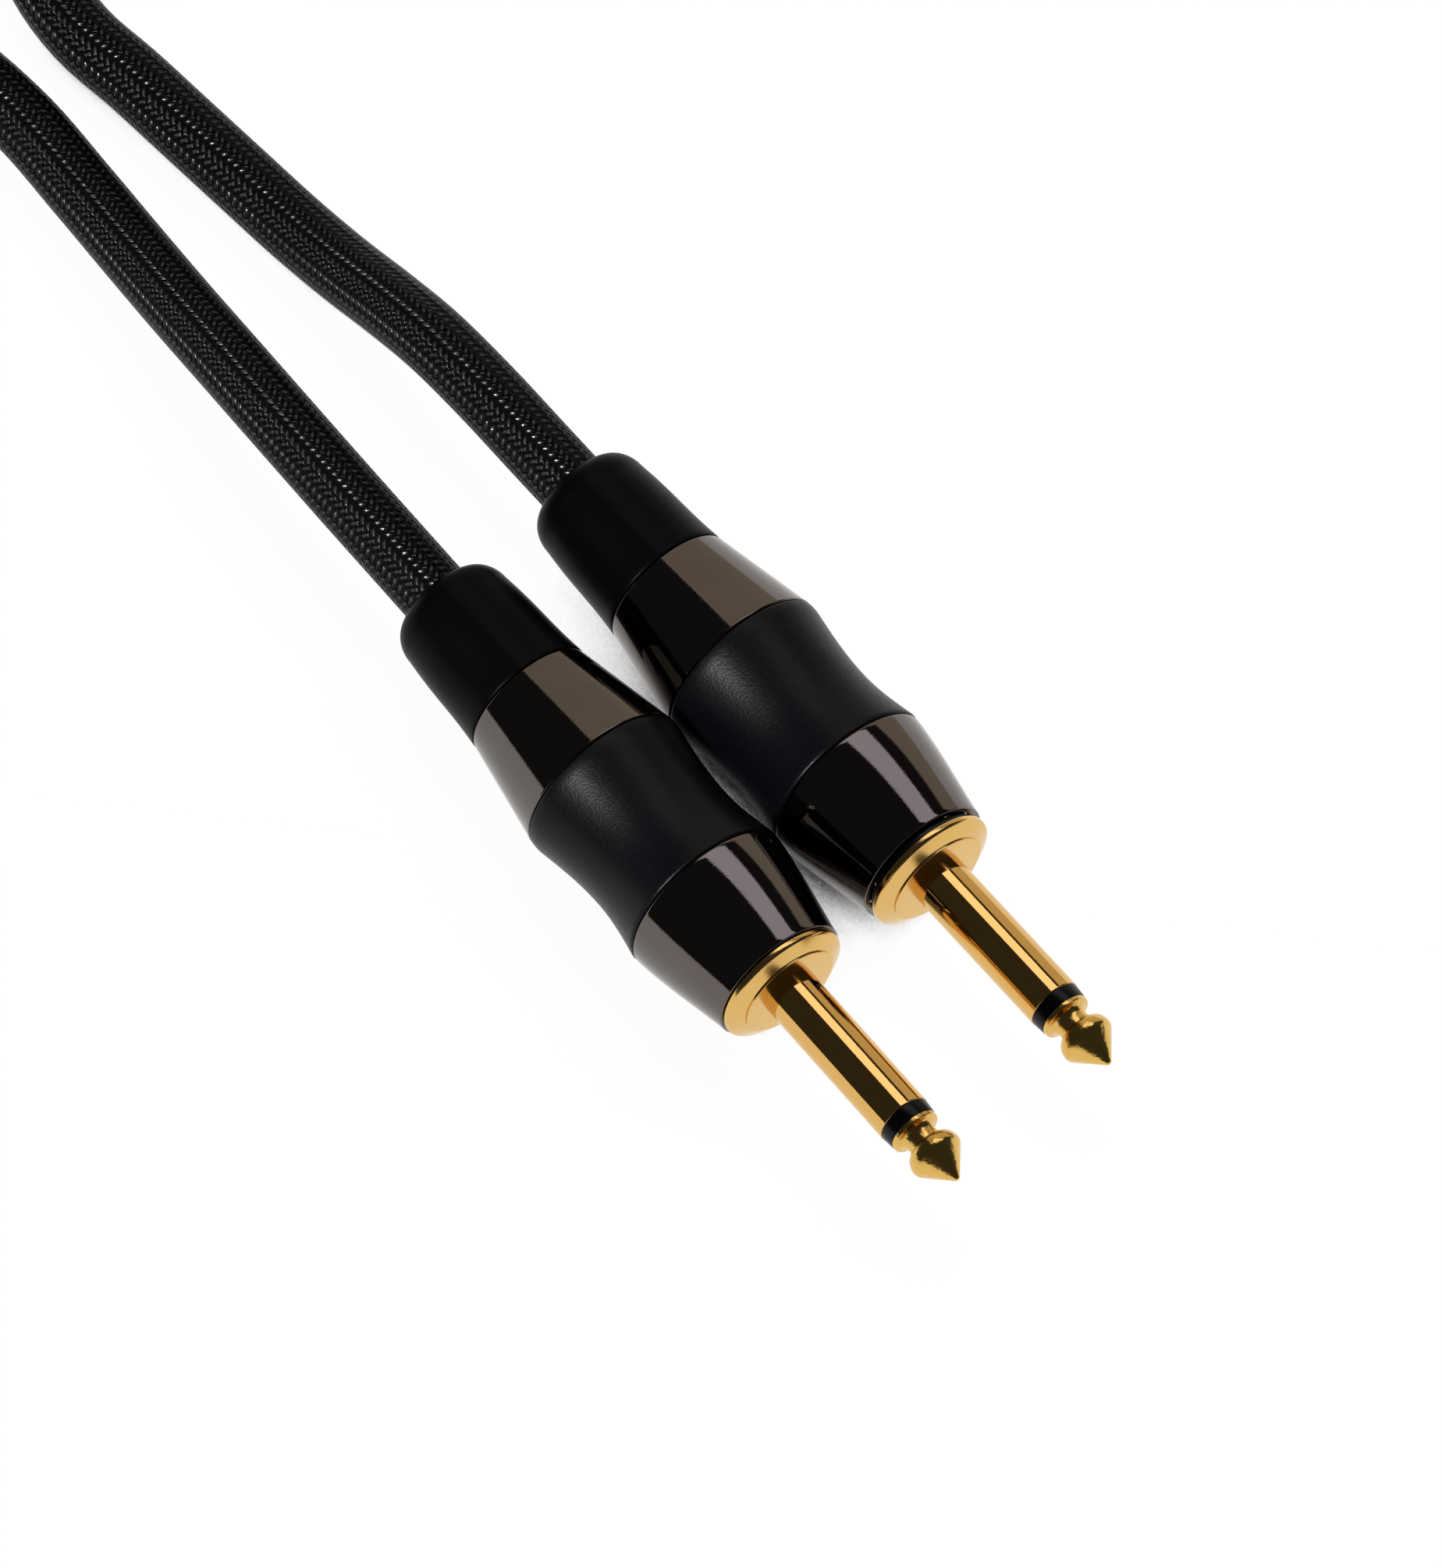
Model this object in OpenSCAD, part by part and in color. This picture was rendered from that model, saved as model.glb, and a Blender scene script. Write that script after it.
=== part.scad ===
// Instrument cable: two straight mono plugs of 6.35 mm with screw-on handles, on one
// thick round cable. The plugs lie side by side, and the spare cable is folded into a
// tied hank behind them. Each plug is drawn along X, with the front face of its flange
// at x = 0 and its tip toward +X. Plug "a" lies along X and plug "b" is turned a little.

/* [Contact pin] */
// Diameter of the sleeve, the outer contact
sleeve_d = 6.35; // [6:0.05:6.6]
// Wall of the sleeve
sleeve_wall = 0.7; // [0.4:0.05:0.9]
// Length of the sleeve in front of the flange
sleeve_len = 20; // [15:0.1:24]
// Length of the sleeve inside the flange
sleeve_seat = 5; // [3:0.5:7]
// Depth of the shoulder that seats the sleeve against the flange
shoulder = 0.2; // [0.2:0.05:0.4]
// Width of the insulating band between sleeve and tip
band_len = 1.7; // [1:0.1:3]
// Length of the spigot that holds the band in the sleeve
band_spigot = 1.5; // [1:0.1:3]
// Length of the tip in front of the band
tip_len = 7.8; // [7.4:0.1:9]
// Distance from the band to the middle of the ball
ball_at = 3.9; // [3.5:0.1:4.2]
// Diameter of the ball of the tip
ball_d = 6.3; // [5.8:0.05:6.6]
// Diameter of the neck behind the ball
neck_d = 3.8; // [3:0.1:4.4]
// Diameter of the rod that joins the tip to its solder lug
rod_d = 2.4; // [1.8:0.1:2.6]

/* [Plug body] */
// Diameter of the flange
flange_d = 15.6; // [15:0.1:17]
// Thickness of the flange
flange_t = 1.8; // [1.6:0.1:3]
// Diameter of the flat face that the sleeve stands on
face_d = 11.8; // [9:0.1:13]
// Diameter of the threaded stem behind the flange
stem_d = 12; // [11.7:0.1:12.6]
// Length of the threaded stem
stem_len = 8; // [7:0.5:9]

/* [Handle] */
// Diameter of the widest rims, at both ends of the grip
rim_d = 20.3; // [19.8:0.1:21]
// Diameter of the nose's front end
nose_front_d = 16.1; // [15.8:0.1:17]
// Thickness of the seal ring that sits behind the flange
seal_t = 0.7; // [0.5:0.1:1.5]
// Diameter of the seal ring
seal_d = 14.7; // [14:0.1:15]
// Length of the nose shell
nose_len = 13; // [11:0.5:16]
// Swelling of the nose's cone
nose_belly = 0.5; // [0:0.05:0.9]
// Length of the grip
grip_len = 18.3; // [14:0.1:24]
// Diameter of the grip at its waist
waist_d = 18.4; // [17.4:0.1:19.4]
// Distance from the nose back to the grip's waist
waist_at = 8; // [6:0.1:11]
// Length of the rear ring
ring_len = 12.9; // [10:0.1:16]
// Diameter of the rear ring where the boot begins
ring_rear_d = 15.7; // [15.2:0.1:17]
// Length of the boot behind the rear ring
boot_len = 15.8; // [14:0.1:24]
// Diameter of the boot just before its rounded end
boot_rear_d = 14; // [13.8:0.1:15]
// Diameter of the boot's flat end
boot_end_d = 10; // [9.6:0.1:12]
// Length of the boot's rounded end
boot_round = 3; // [2:0.1:5]
// Wall of the boot at the hole for the cable
boot_lip = 4.8; // [3:0.1:6]
// Outer diameter of the barrel that carries the grip
barrel_d = 14.4; // [14.2:0.1:14.8]
// Wall of the barrel
barrel_wall = 0.7; // [0.5:0.05:0.9]
// Depth that the barrel reaches into the nose
barrel_in_nose = 4.5; // [3:0.5:6]
// Depth that the barrel reaches into the rear ring
barrel_in_ring = 9.4; // [6:0.1:9.6]
// Length of the boot's spigot inside the ring and the barrel
boot_spigot = 5.5; // [4.5:0.5:8]

/* [Inner parts] */
// Wall of the cable bush
bush_wall = 1.45; // [1:0.05:1.5]
// Length of the cable bush
bush_len = 17; // [12:0.5:20]
// Width of the slits in the cable bush
bush_slit = 0.9; // [0.5:0.1:1.5]
// Length of those slits
bush_slit_len = 10; // [5:0.5:11]
// Outer diameter of the insulating liner
liner_d = 11.8; // [11.5:0.1:11.9]
// Wall of the liner
liner_wall = 0.6; // [0.4:0.05:0.7]
// Length of the liner
liner_len = 21.5; // [16:0.5:24]
// Thickness of the solder terminals' metal
lug_t = 0.6; // [0.4:0.05:0.8]
// Width of the ground arm
arm_w = 4.4; // [3:0.1:5]
// Length of the ground arm from its ring to the cable claws
arm_len = 16; // [14:0.5:18]
// Length of the cable claws
claw_len = 5; // [3:0.5:6]
// Gap between the claws' edges
claw_gap = 3; // [1:0.5:5]
// Thickness of the rear insulator
washer_t = 1; // [0.8:0.1:2]
// Diameter of the rear insulator
washer_d = 7.6; // [6:0.1:7.8]
// Diameter of the tip lug's ring
lug_d = 5.2; // [4.4:0.1:6]
// Length of the tip lug's tail
lug_tail = 7; // [5:0.5:8]
// Width of the tip lug's tail
lug_tail_w = 2.2; // [1.5:0.1:3]
// Thickness of the riveted head on the rod's end
rivet_t = 0.6; // [0.4:0.1:1]

/* [Cable] */
// Diameter of the cable over its braid
cable_d = 8; // [7.6:0.1:8.2]
// Length of jacket between the claws and the solder joints
jacket_past_claws = 1; // [0.5:0.5:2]
// Diameter of the insulated centre conductor
core_d = 2.8; // [2:0.1:3.2]
// Length of the insulated centre conductor that shows
core_len = 4.5; // [3:0.5:6]
// Diameter of the bare centre conductor
wire_d = 0.9; // [0.6:0.1:1.2]
// Diameter of the twisted screen
drain_d = 1.2; // [0.8:0.1:1.4]
// Length of the twisted screen
drain_len = 7; // [5:0.5:8]

/* [Pair of plugs] */
// Gap between the plugs' widest rims, measured at the flanges
rim_gap = 1; // [0.9:0.1:9]
// Distance that plug b lies further back
pair_step = 1.25; // [0:0.05:6]
// Turn of plug b on the table, in degrees
pair_turn = 0.9; // [0:0.1:1]

/* [Motion] */
// Distance that the handle of plug b stands unscrewed
open_b = 0.8; // [0:0.1:2]
// Travel of the handle on its thread
screw_travel = 5; // [4:0.5:6]
// Travel of the loose handle along the cable
slide_travel = 10; // [5:0.5:10]

/* [Clearances] */
// Gap between the flange and a handle that is screwed home
close_gap = 0.05; // [0.03:0.01:0.1]
// Radial clearance of a part that turns on another
run_gap = 0.05; // [0.02:0.01:0.1]
// Radial clearance of a part that sits in another
seat_gap = 0.02; // [0.01:0.01:0.05]
// Radial clearance of the cable in the boot and the bush
cable_gap = 0.35; // [0.3:0.01:0.4]
// Gap between the tie and the cable
tie_gap = 0.3; // [0.3:0.05:0.5]

/* [Tied hank] */
// Bend radius of the innermost turn at the hank's ends
fold_r = 24; // [24:0.5:30]
// Distance between neighbouring turns
turn_step = 8.7; // [8.7:0.1:9.5]
// Height of one layer of turns
layer_step = 8.5; // [8.45:0.05:9]
// Half the hank's hollow at its waist, to the cable's middle
waist_half = 16; // [12:0.5:20]
// Bend radius of the innermost turn at the waist
waist_r = 42; // [42:0.5:50]
// Width of the tie
tie_w = 12; // [8:0.5:12]
// Thickness of the tie
tie_t = 1.5; // [1:0.1:1.6]
// Length of the tie's overlapping end
tie_lap = 26; // [15:1:30]

/* [Hidden] */

$fn = 96;
// Sides of an arc in an outline, and of a child of a hull
arc_steps = 8;
hull_fn = 32;

// Radii
sleeve_r = sleeve_d / 2;
bore_r = sleeve_r - sleeve_wall;
seat_r = sleeve_r - shoulder;
rod_hole_r = rod_d / 2 + seat_gap;
stem_r = stem_d / 2;
rim_r = rim_d / 2;
nose_front_r = nose_front_d / 2;
seal_r = seal_d / 2;
flange_r = flange_d / 2;
barrel_r = barrel_d / 2;
barrel_in_r = barrel_r - barrel_wall;
cable_r = cable_d / 2;
cable_hole_r = cable_r + cable_gap;
bush_r = cable_hole_r + bush_wall;
liner_r = liner_d / 2;
claw_in_r = cable_r + run_gap;
claw_r = claw_in_r + lug_t;

// Places along the plug, from the flange's front face
band_x = sleeve_len;
tip_x = band_x + band_len;
tip_end = tip_x + tip_len;
flange_back = -flange_t;
seal_back = flange_back - seal_t;
nose_front = flange_back - close_gap;
nose_back = nose_front - nose_len;
grip_back = nose_back - grip_len;
ring_back = grip_back - ring_len;
boot_back = ring_back - boot_len;
stem_back = flange_back - stem_len;
arm_back = stem_back - lug_t;
washer_back = arm_back - washer_t;
lug_back = washer_back - lug_t;
rivet_back = lug_back - rivet_t;
claw_front = stem_back - arm_len;
claw_back = claw_front - claw_len;
jacket_front = claw_front + jacket_past_claws;
core_front = jacket_front + core_len;
barrel_front = nose_back + barrel_in_nose;
barrel_back = grip_back - barrel_in_ring;
spigot_front = ring_back + boot_spigot;
bush_back = boot_back + boot_lip + run_gap;
liner_front = arm_back - seat_gap;

// The frame: the origin lies under the middle of the two plugs, on the table
axis_z = rim_r;
pair_gap = rim_d + rim_gap;
origin_x = (tip_end - pair_step + (boot_back - open_b) * cos(pair_turn)
    - boot_end_d / 2 * sin(pair_turn)) / 2;
origin_y = (-rim_r + pair_gap + (nose_back - open_b) * sin(pair_turn)
    + rim_r * cos(pair_turn)) / 2;
plug_a = [-origin_x, -origin_y, 0];
plug_b = plug_a + [-pair_step, pair_gap, 0];
axis_b = [cos(pair_turn), sin(pair_turn), 0];

// Points on a quarter or other arc of an outline, as [x, r]
function arc(x, r, radius_x, radius_r, from, to) =
    [for (i = [0:arc_steps])
        let (turn = from + (to - from) * i / arc_steps)
        [x + radius_x * cos(turn), r + radius_r * sin(turn)]];

// A solid turned about the X axis from an outline of [x, r] points
module turned(outline) {
    rotate([0, 90, 0])
        rotate_extrude()
            polygon([for (p = outline) [p[1], p[0]]]);
}

// A tube along X between two places
module tube_x(from, to, outer, inner) {
    turned([[from, inner], [to, inner], [to, outer], [from, outer]]);
}

// Plug a lies along X, and plug b beside it
module at_a() {
    translate(plug_a + [0, 0, axis_z])
        children();
}

module at_b() {
    translate(plug_b + [0, 0, axis_z])
        rotate([0, 0, pair_turn])
            children();
}

// What moves with the handle of plug b, which stands a little unscrewed
module at_b_open() {
    at_b()
        translate([-open_b, 0, 0])
            children();
}

// ---- Handle ----

// The boot's side runs from its rounded end to the rear ring in a slight double curve
boot_wave = 0.08;
function boot_side(s) =
    let (from = boot_rear_d / 2, to = ring_rear_d / 2)
    from + (to - from) * (s + boot_wave * sin(360 * s));

module boot() {
    round_x = boot_back + boot_round;
    end_r = boot_end_d / 2;
    spigot_r = barrel_in_r - seat_gap;
    cavity_r = bush_r + run_gap;
    cavity_back = boot_back + boot_lip;
    color([0.09, 0.09, 0.1])
        turned(concat(
            arc(round_x, end_r, boot_round, boot_rear_d / 2 - end_r, 180, 90),
            [for (i = [1:arc_steps])
                let (s = i / arc_steps)
                [round_x + (ring_back - round_x) * s, boot_side(s)]],
            [[ring_back, spigot_r], [spigot_front, spigot_r],
             [spigot_front, cavity_r], [cavity_back, cavity_r],
             [cavity_back, cable_hole_r], [boot_back, cable_hole_r]]
        ));
}

module rear_ring() {
    bevel = 0.2;
    socket_r = barrel_r + seat_gap;
    hole_r = barrel_in_r + seat_gap;
    color([0.16, 0.15, 0.15])
        turned([
            [ring_back, hole_r], [barrel_back, hole_r],
            [barrel_back, socket_r], [grip_back, socket_r],
            [grip_back, rim_r - bevel], [grip_back - bevel, rim_r],
            [ring_back + bevel, ring_rear_d / 2 + bevel * 0.2],
            [ring_back, ring_rear_d / 2 - bevel * 0.5]
        ]);
}

// The grip is drawn in at a waist that lies forward of its middle
grip_waist_x = nose_back - waist_at;
grip_shoulder = 1;
grip_steps = 20;
function grip_side(x) =
    let (
        reach = x < grip_waist_x
            ? grip_waist_x - grip_back - grip_shoulder
            : nose_back - grip_waist_x - grip_shoulder * 0.4,
        s = min(1, abs(x - grip_waist_x) / reach)
    )
    rim_r - (rim_r - waist_d / 2) * cos(90 * s);

module grip() {
    edge = 0.35;
    socket_r = barrel_r + seat_gap;
    color([0.13, 0.14, 0.17])
        turned(concat(
            [[grip_back, socket_r], [grip_back, rim_r - edge]],
            [for (i = [0:grip_steps])
                let (x = grip_back + edge + (grip_len - 2 * edge) * i / grip_steps)
                [x, grip_side(x)]],
            [[nose_back, rim_r - edge], [nose_back, socket_r]]
        ));
}

module barrel() {
    color([0.6, 0.6, 0.62])
        tube_x(barrel_back, barrel_front, barrel_r, barrel_in_r);
}

// The nose swells a little between its front and its rim
function nose_side(u) =
    nose_front_r + (rim_r - nose_front_r) * (u + nose_belly * u * u * (1 - u));

// A pocket in its front takes the seal ring when the handle is screwed home
module nose() {
    bevel = 0.35;
    steps = 10;
    side_len = nose_len - bevel;
    socket_r = barrel_r + seat_gap;
    hole_r = stem_r + run_gap;
    pocket_r = seal_r + run_gap;
    pocket_spare = 0.1;
    pocket_back = nose_front - seal_t - pocket_spare;
    color([0.14, 0.14, 0.15])
        turned(concat(
            [[nose_back, socket_r], [nose_back, rim_r - bevel]],
            [for (i = [0:steps])
                let (u = 1 - i / steps)
                [nose_front - side_len * u, nose_side(u)]],
            [[nose_front, pocket_r], [pocket_back, pocket_r],
             [pocket_back, hole_r], [barrel_front, hole_r],
             [barrel_front, socket_r]]
        ));
}

// The seal ring sits on the stem, against the back of the flange
module nose_seal() {
    round_r = seal_t / 4;
    hole_r = stem_r + seat_gap;
    color([0.05, 0.05, 0.06])
        turned([
            [seal_back, hole_r], [seal_back, seal_r - round_r],
            [seal_back + round_r, seal_r], [flange_back - round_r, seal_r],
            [flange_back, seal_r - round_r], [flange_back, hole_r]
        ]);
}

// ---- Parts inside the handle ----

// The bush is slit from its front end, so that it can close on the cable
module cable_bush() {
    bush_front = bush_back + bush_len;
    slits = 4;
    color([0.85, 0.85, 0.82])
        difference() {
            tube_x(bush_back, bush_front, bush_r, cable_hole_r);
            for (i = [0:slits / 2 - 1])
                rotate([180 * i / slits * 2, 0, 0])
                    translate([bush_front - bush_slit_len, -bush_slit / 2, -bush_r - 1])
                        cube([bush_slit_len + 1, bush_slit, 2 * bush_r + 2]);
        }
}

module liner() {
    color([0.2, 0.2, 0.22])
        tube_x(liner_front - liner_len, liner_front, liner_r, liner_r - liner_wall);
}

// ---- Plug ----

module plug_body() {
    edge = 0.2;
    slope_x = -1;
    step_x = -0.2;
    face_r = face_d / 2;
    step_w = 0.2;
    color([0.86, 0.72, 0.4])
        turned([
            [0, seat_r + seat_gap], [0, face_r],
            [step_x, face_r], [step_x, face_r + step_w],
            [slope_x, flange_r - edge], [slope_x - edge, flange_r],
            [flange_back + edge, flange_r], [flange_back, flange_r - edge],
            [flange_back, stem_r], [stem_back, stem_r],
            [stem_back, bore_r], [-sleeve_seat, bore_r],
            [-sleeve_seat, seat_r + seat_gap]
        ]);
}

module sleeve() {
    edge = 0.1;
    color([0.88, 0.74, 0.42])
        turned([
            [-sleeve_seat, bore_r], [sleeve_len, bore_r],
            [sleeve_len, sleeve_r - edge], [sleeve_len - edge, sleeve_r],
            [0, sleeve_r], [0, seat_r], [-sleeve_seat, seat_r]
        ]);
}

module insulator_band() {
    slope = 0.15;
    color([0.06, 0.06, 0.07])
        turned([
            [band_x - band_spigot, rod_hole_r], [tip_x, rod_hole_r],
            [tip_x, sleeve_r - slope - 0.1], [tip_x - slope, sleeve_r - slope],
            [band_x, sleeve_r - slope / 3],
            [band_x, bore_r - seat_gap], [band_x - band_spigot, bore_r - seat_gap]
        ]);
}

// The tip is turned in one with its rod: collar, neck, ball and blunt cone
module tip() {
    collar_r = sleeve_r - 0.25;
    collar_len = 0.55;
    neck_r = neck_d / 2;
    collar_round = 0.2;
    collar_side_r = collar_r - collar_round;
    fillet = 1;
    ball_r = ball_d / 2;
    ball_x = tip_x + ball_at;
    ball_back = 1.5;
    ball_foot = neck_r + 0.15;
    ball_from = 175;
    ball_round = 0.9;
    crown = 80;
    cone_turn = 50;
    end_r = 0.45;
    rivet_r = rod_d / 2 + 0.5;
    rivet_edge = 0.2;
    color([0.88, 0.74, 0.42])
        turned(concat(
            [[rivet_back, 0], [rivet_back, rivet_r - rivet_edge],
             [rivet_back + rivet_edge, rivet_r],
             [lug_back, rivet_r], [lug_back, rod_d / 2], [tip_x, rod_d / 2],
             [tip_x, collar_r]],
            arc(tip_x + collar_len - collar_round, collar_side_r,
                collar_round, collar_round, 90, 0),
            arc(tip_x + collar_len + fillet, collar_side_r,
                fillet, collar_side_r - neck_r, 180, 270),
            [[ball_x - ball_back, neck_r]],
            arc(ball_x, ball_foot, ball_back, ball_r - ball_foot, ball_from, 90),
            arc(ball_x, ball_r - ball_round, ball_round, ball_round, crown, cone_turn),
            arc(tip_end - end_r, 0, end_r, end_r, cone_turn, 0)
        ));
}

module core_tube() {
    color([0.9, 0.88, 0.8])
        tube_x(stem_back, band_x - band_spigot, bore_r - seat_gap, rod_hole_r);
}

// The spigot on the washer keeps the rod clear of the ground arm's ring
washer_spigot_r = rod_hole_r + 0.8;

module rear_insulator() {
    color([0.5, 0.42, 0.3])
        turned([
            [washer_back, rod_hole_r], [stem_back, rod_hole_r],
            [stem_back, washer_spigot_r], [arm_back, washer_spigot_r],
            [arm_back, washer_d / 2], [washer_back, washer_d / 2]
        ]);
}

// A ring on the rod with a tail that carries the centre conductor
module tip_lug() {
    tail_z = -lug_d / 2;
    color([0.78, 0.76, 0.7])
        union() {
            tube_x(lug_back, washer_back, lug_d / 2, rod_hole_r);
            translate([lug_back - lug_tail, -lug_tail_w / 2, tail_z])
                cube([lug_tail + lug_t, lug_tail_w, lug_t]);
        }
}

// A ring behind the stem, a curved arm under the solder joints and two cable claws
module ground_arm() {
    hole_r = washer_spigot_r + seat_gap;
    color([0.78, 0.76, 0.7])
        union() {
            tube_x(arm_back, stem_back, claw_r, hole_r);
            intersection() {
                tube_x(claw_front - 1, arm_back + lug_t / 2, claw_r, claw_in_r);
                translate([claw_front - 1, -arm_w / 2, -claw_r - 1])
                    cube([arm_len + 1, arm_w, claw_r + 1]);
            }
            difference() {
                tube_x(claw_back, claw_front, claw_r, claw_in_r);
                translate([claw_back - 1, -claw_gap / 2, 0])
                    cube([claw_len + 2, claw_gap, claw_r + 1]);
            }
        }
}

// ---- Cable inside the plug ----

module cable_end(back) {
    color([0.07, 0.07, 0.08])
        turned([
            [back, 0], [jacket_front, 0], [jacket_front, cable_r], [back, cable_r]
        ]);
}

// The insulated conductor, and the bare wire that slopes down onto the lug's tail
module core_wire() {
    wire_r = wire_d / 2;
    wire_root = 0.5;
    wire_end_x = lug_back - 1.5;
    drop = lug_d / 2 - lug_t - wire_r;
    run = wire_end_x - core_front;
    slope = atan2(drop, run);
    color([0.9, 0.88, 0.85])
        union() {
            turned([
                [jacket_front, 0], [core_front, 0], [core_front, core_d / 2],
                [jacket_front, core_d / 2]
            ]);
            translate([core_front - wire_root, 0, 0])
                rotate([0, slope, 0])
                    turned([[0, 0], [run, 0], [run, wire_r], [0, wire_r]]);
        }
}

module screen_wire() {
    drain_z = -claw_in_r + drain_d / 2 + run_gap;
    color([0.75, 0.55, 0.38])
        translate([0, 0, drain_z])
            turned([
                [jacket_front, 0], [jacket_front + drain_len, 0],
                [jacket_front + drain_len, drain_d / 2], [jacket_front, drain_d / 2]
            ]);
}

// ---- Free cable ----

// Directions along a route, and the frame of the ring at each of its points
function unit(v) = v / norm(v);
function heading(route, i) =
    let (last = len(route) - 1)
    i == 0 ? unit(route[1] - route[0])
    : i == last ? unit(route[last] - route[last - 1])
    : unit(unit(route[i] - route[i - 1]) + unit(route[i + 1] - route[i]));
function ring_at(route, i, radius, sides) =
    let (
        ahead = heading(route, i),
        across = unit(cross([0, 0, 1], ahead)),
        up = cross(ahead, across)
    )
    [for (k = [0:sides - 1])
        route[i] + radius * (cos(360 * k / sides + 90) * across
            + sin(360 * k / sides + 90) * up)];

// One closed tube along a route
module swept(route, radius, sides) {
    rings = len(route);
    points = [for (i = [0:rings - 1]) each ring_at(route, i, radius, sides)];
    walls = [for (i = [0:rings - 2]) for (k = [0:sides - 1])
        let (a = i * sides + k, b = i * sides + (k + 1) % sides)
        each [[a, a + sides, b], [b, a + sides, b + sides]]];
    first = [for (k = [1:sides - 2]) [0, k, k + 1]];
    end = (rings - 1) * sides;
    last = [for (k = [1:sides - 2]) [end, end + k + 1, end + k]];
    polyhedron(points = points, faces = concat(walls, first, last), convexity = 10);
}

// The hank is a stack of parallel waisted loops. A loop has 24 rings: 3 along the run
// at -Y, 9 round the far fold, 3 along the run at +Y and 9 round the near fold.
hank_at = [-248.5, 9];
fold_rings = 9;
run_rings = 3;
loop_rings = 2 * (fold_rings + run_rings);
first_ring = -3;
last_ring = 179;
// Rings at which the spiral turns back, each in the middle of a run
turn_backs = [49.5, 97.5, 145.5];
climb_rings = 6;
fold_x = sqrt(pow(fold_r + waist_r, 2) - pow(waist_half + waist_r, 2));
run_angle = atan2(waist_half + waist_r, fold_x);
// Lift of the runs where they cross the tie
lift = tie_t + tie_gap + 0.4;
lift_reach = 30;

function spread(j) =
    turn_step / loop_rings
        * abs(j - (j < turn_backs[1] ? turn_backs[0] : turn_backs[2]));
function ease(t) = let (s = min(1, max(0, t))) s * s * (3 - 2 * s);
function layer_z(j) =
    cable_r + layer_step * (
        ease((j - turn_backs[0]) / climb_rings + 0.5)
        + ease((j - turn_backs[1]) / climb_rings + 0.5)
        + ease((j - turn_backs[2]) / climb_rings + 0.5));
function run_lift(x) = abs(x) < lift_reach ? lift * pow(cos(90 * x / lift_reach), 2) : 0;
function near_run(share, e) =
    let (
        turn = run_angle + (180 - 2 * run_angle) * share,
        radius = waist_r - e
    )
    [radius * cos(turn), radius * sin(turn) - waist_half - waist_r];
function far_fold(share, e) =
    let (turn = -run_angle - 2 * (180 - run_angle) * share, radius = fold_r + e)
    [radius * cos(turn) - fold_x, radius * sin(turn)];
// The other run and fold are the same two, turned half round the hank's middle
half_loop = run_rings + fold_rings;
function half_point(k, e) =
    k < run_rings ? near_run(k / run_rings, e)
    : far_fold((k - run_rings) / fold_rings, e);
function loop_point(k, e) = k < half_loop ? half_point(k, e) : -half_point(k - half_loop, e);
function hank_point(j) =
    let (
        k = (j + loop_rings) % loop_rings,
        p = loop_point(k, spread(j)),
        runs = k % half_loop <= run_rings
    )
    [plug_a[0] + hank_at[0] + p[0], plug_a[1] + hank_at[1] + p[1],
     layer_z(j) + (runs ? run_lift(p[0]) : 0)];
hank_route = [for (j = [first_ring:last_ring]) hank_point(j)];

// Straight length of cable behind each boot, for the handle to slide back on
free_len = screw_travel + slide_travel + 1;
joint_len = 1.15 * cable_d;

// Routes from plug a's flange: x back along the plugs, y across them, z from the table
route_a = [
    [-90.5, 0.2, 9.8], [-100.5, 0.7, 8.6], [-110.5, 1.4, 6.8], [-120.5, 2.2, 5.1],
    [-130.5, 2.8, 4.2], [-142.5, 3, 4], [-154, 1.2, 4], [-164, -4, 4]
];
route_b = [
    [-260.5, 49, 29.5], [-248.5, 51.5, 28.5], [-236.5, 54, 25.5], [-225, 56, 21.5],
    [-210.5, 56, 17], [-196.5, 51.5, 12], [-184, 43, 7], [-175, 31.5, 4.4],
    [-170, 24.5, 4], [-163.5, 19.2, 4], [-155.5, 15.9, 4], [-147, 15, 4],
    [-138.5, 16, 4], [-130, 16.8, 4], [-120.5, 17.7, 4], [-112.5, 18.4, 4.2],
    [-104.5, 19, 5.4], [-96.5, 19.5, 7.6], [-89, 19.8, 9.5]
];
function from_flange(route) = [for (p = route) p + plug_a];
function behind(side, distance) =
    side == "a" ? plug_a + [boot_back - distance, 0, axis_z]
    : plug_b + [0, 0, axis_z] + (boot_back - open_b - distance) * axis_b;

module lead_a() {
    hank_start = hank_route[0];
    inward = unit(hank_route[1] - hank_start);
    color([0.07, 0.07, 0.08])
        swept(concat(
            [behind("a", 0), behind("a", free_len / 2), behind("a", free_len)],
            from_flange(route_a),
            [hank_start - joint_len * inward, hank_start]
        ), cable_r, 12);
}

module lead_b() {
    hank_end = hank_route[len(hank_route) - 1];
    outward = unit(hank_end - hank_route[len(hank_route) - 2]);
    color([0.07, 0.07, 0.08])
        swept(concat(
            [hank_end, hank_end + joint_len * outward],
            from_flange(route_b),
            [behind("b", free_len), behind("b", free_len / 2), behind("b", 0)]
        ), cable_r, 12);
}

// Least distance between turns, measured on points along them
function least_gap(route) =
    let (
        last = len(route) - 1,
        apart = floor(loop_rings / 2),
        fine = [for (i = [0:last - 1]) each [route[i], (route[i] + route[i + 1]) / 2]]
    )
    min([for (i = [0:len(fine) - 1])
        for (j = [i + 2 * apart:1:len(fine) - 1])
            norm(fine[i] - fine[j])]) - cable_d;

module cable_hank() {
    echo(least_gap_in_hank = least_gap(hank_route));
    color([0.07, 0.07, 0.08])
        swept(hank_route, cable_r, 6);
}

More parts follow.
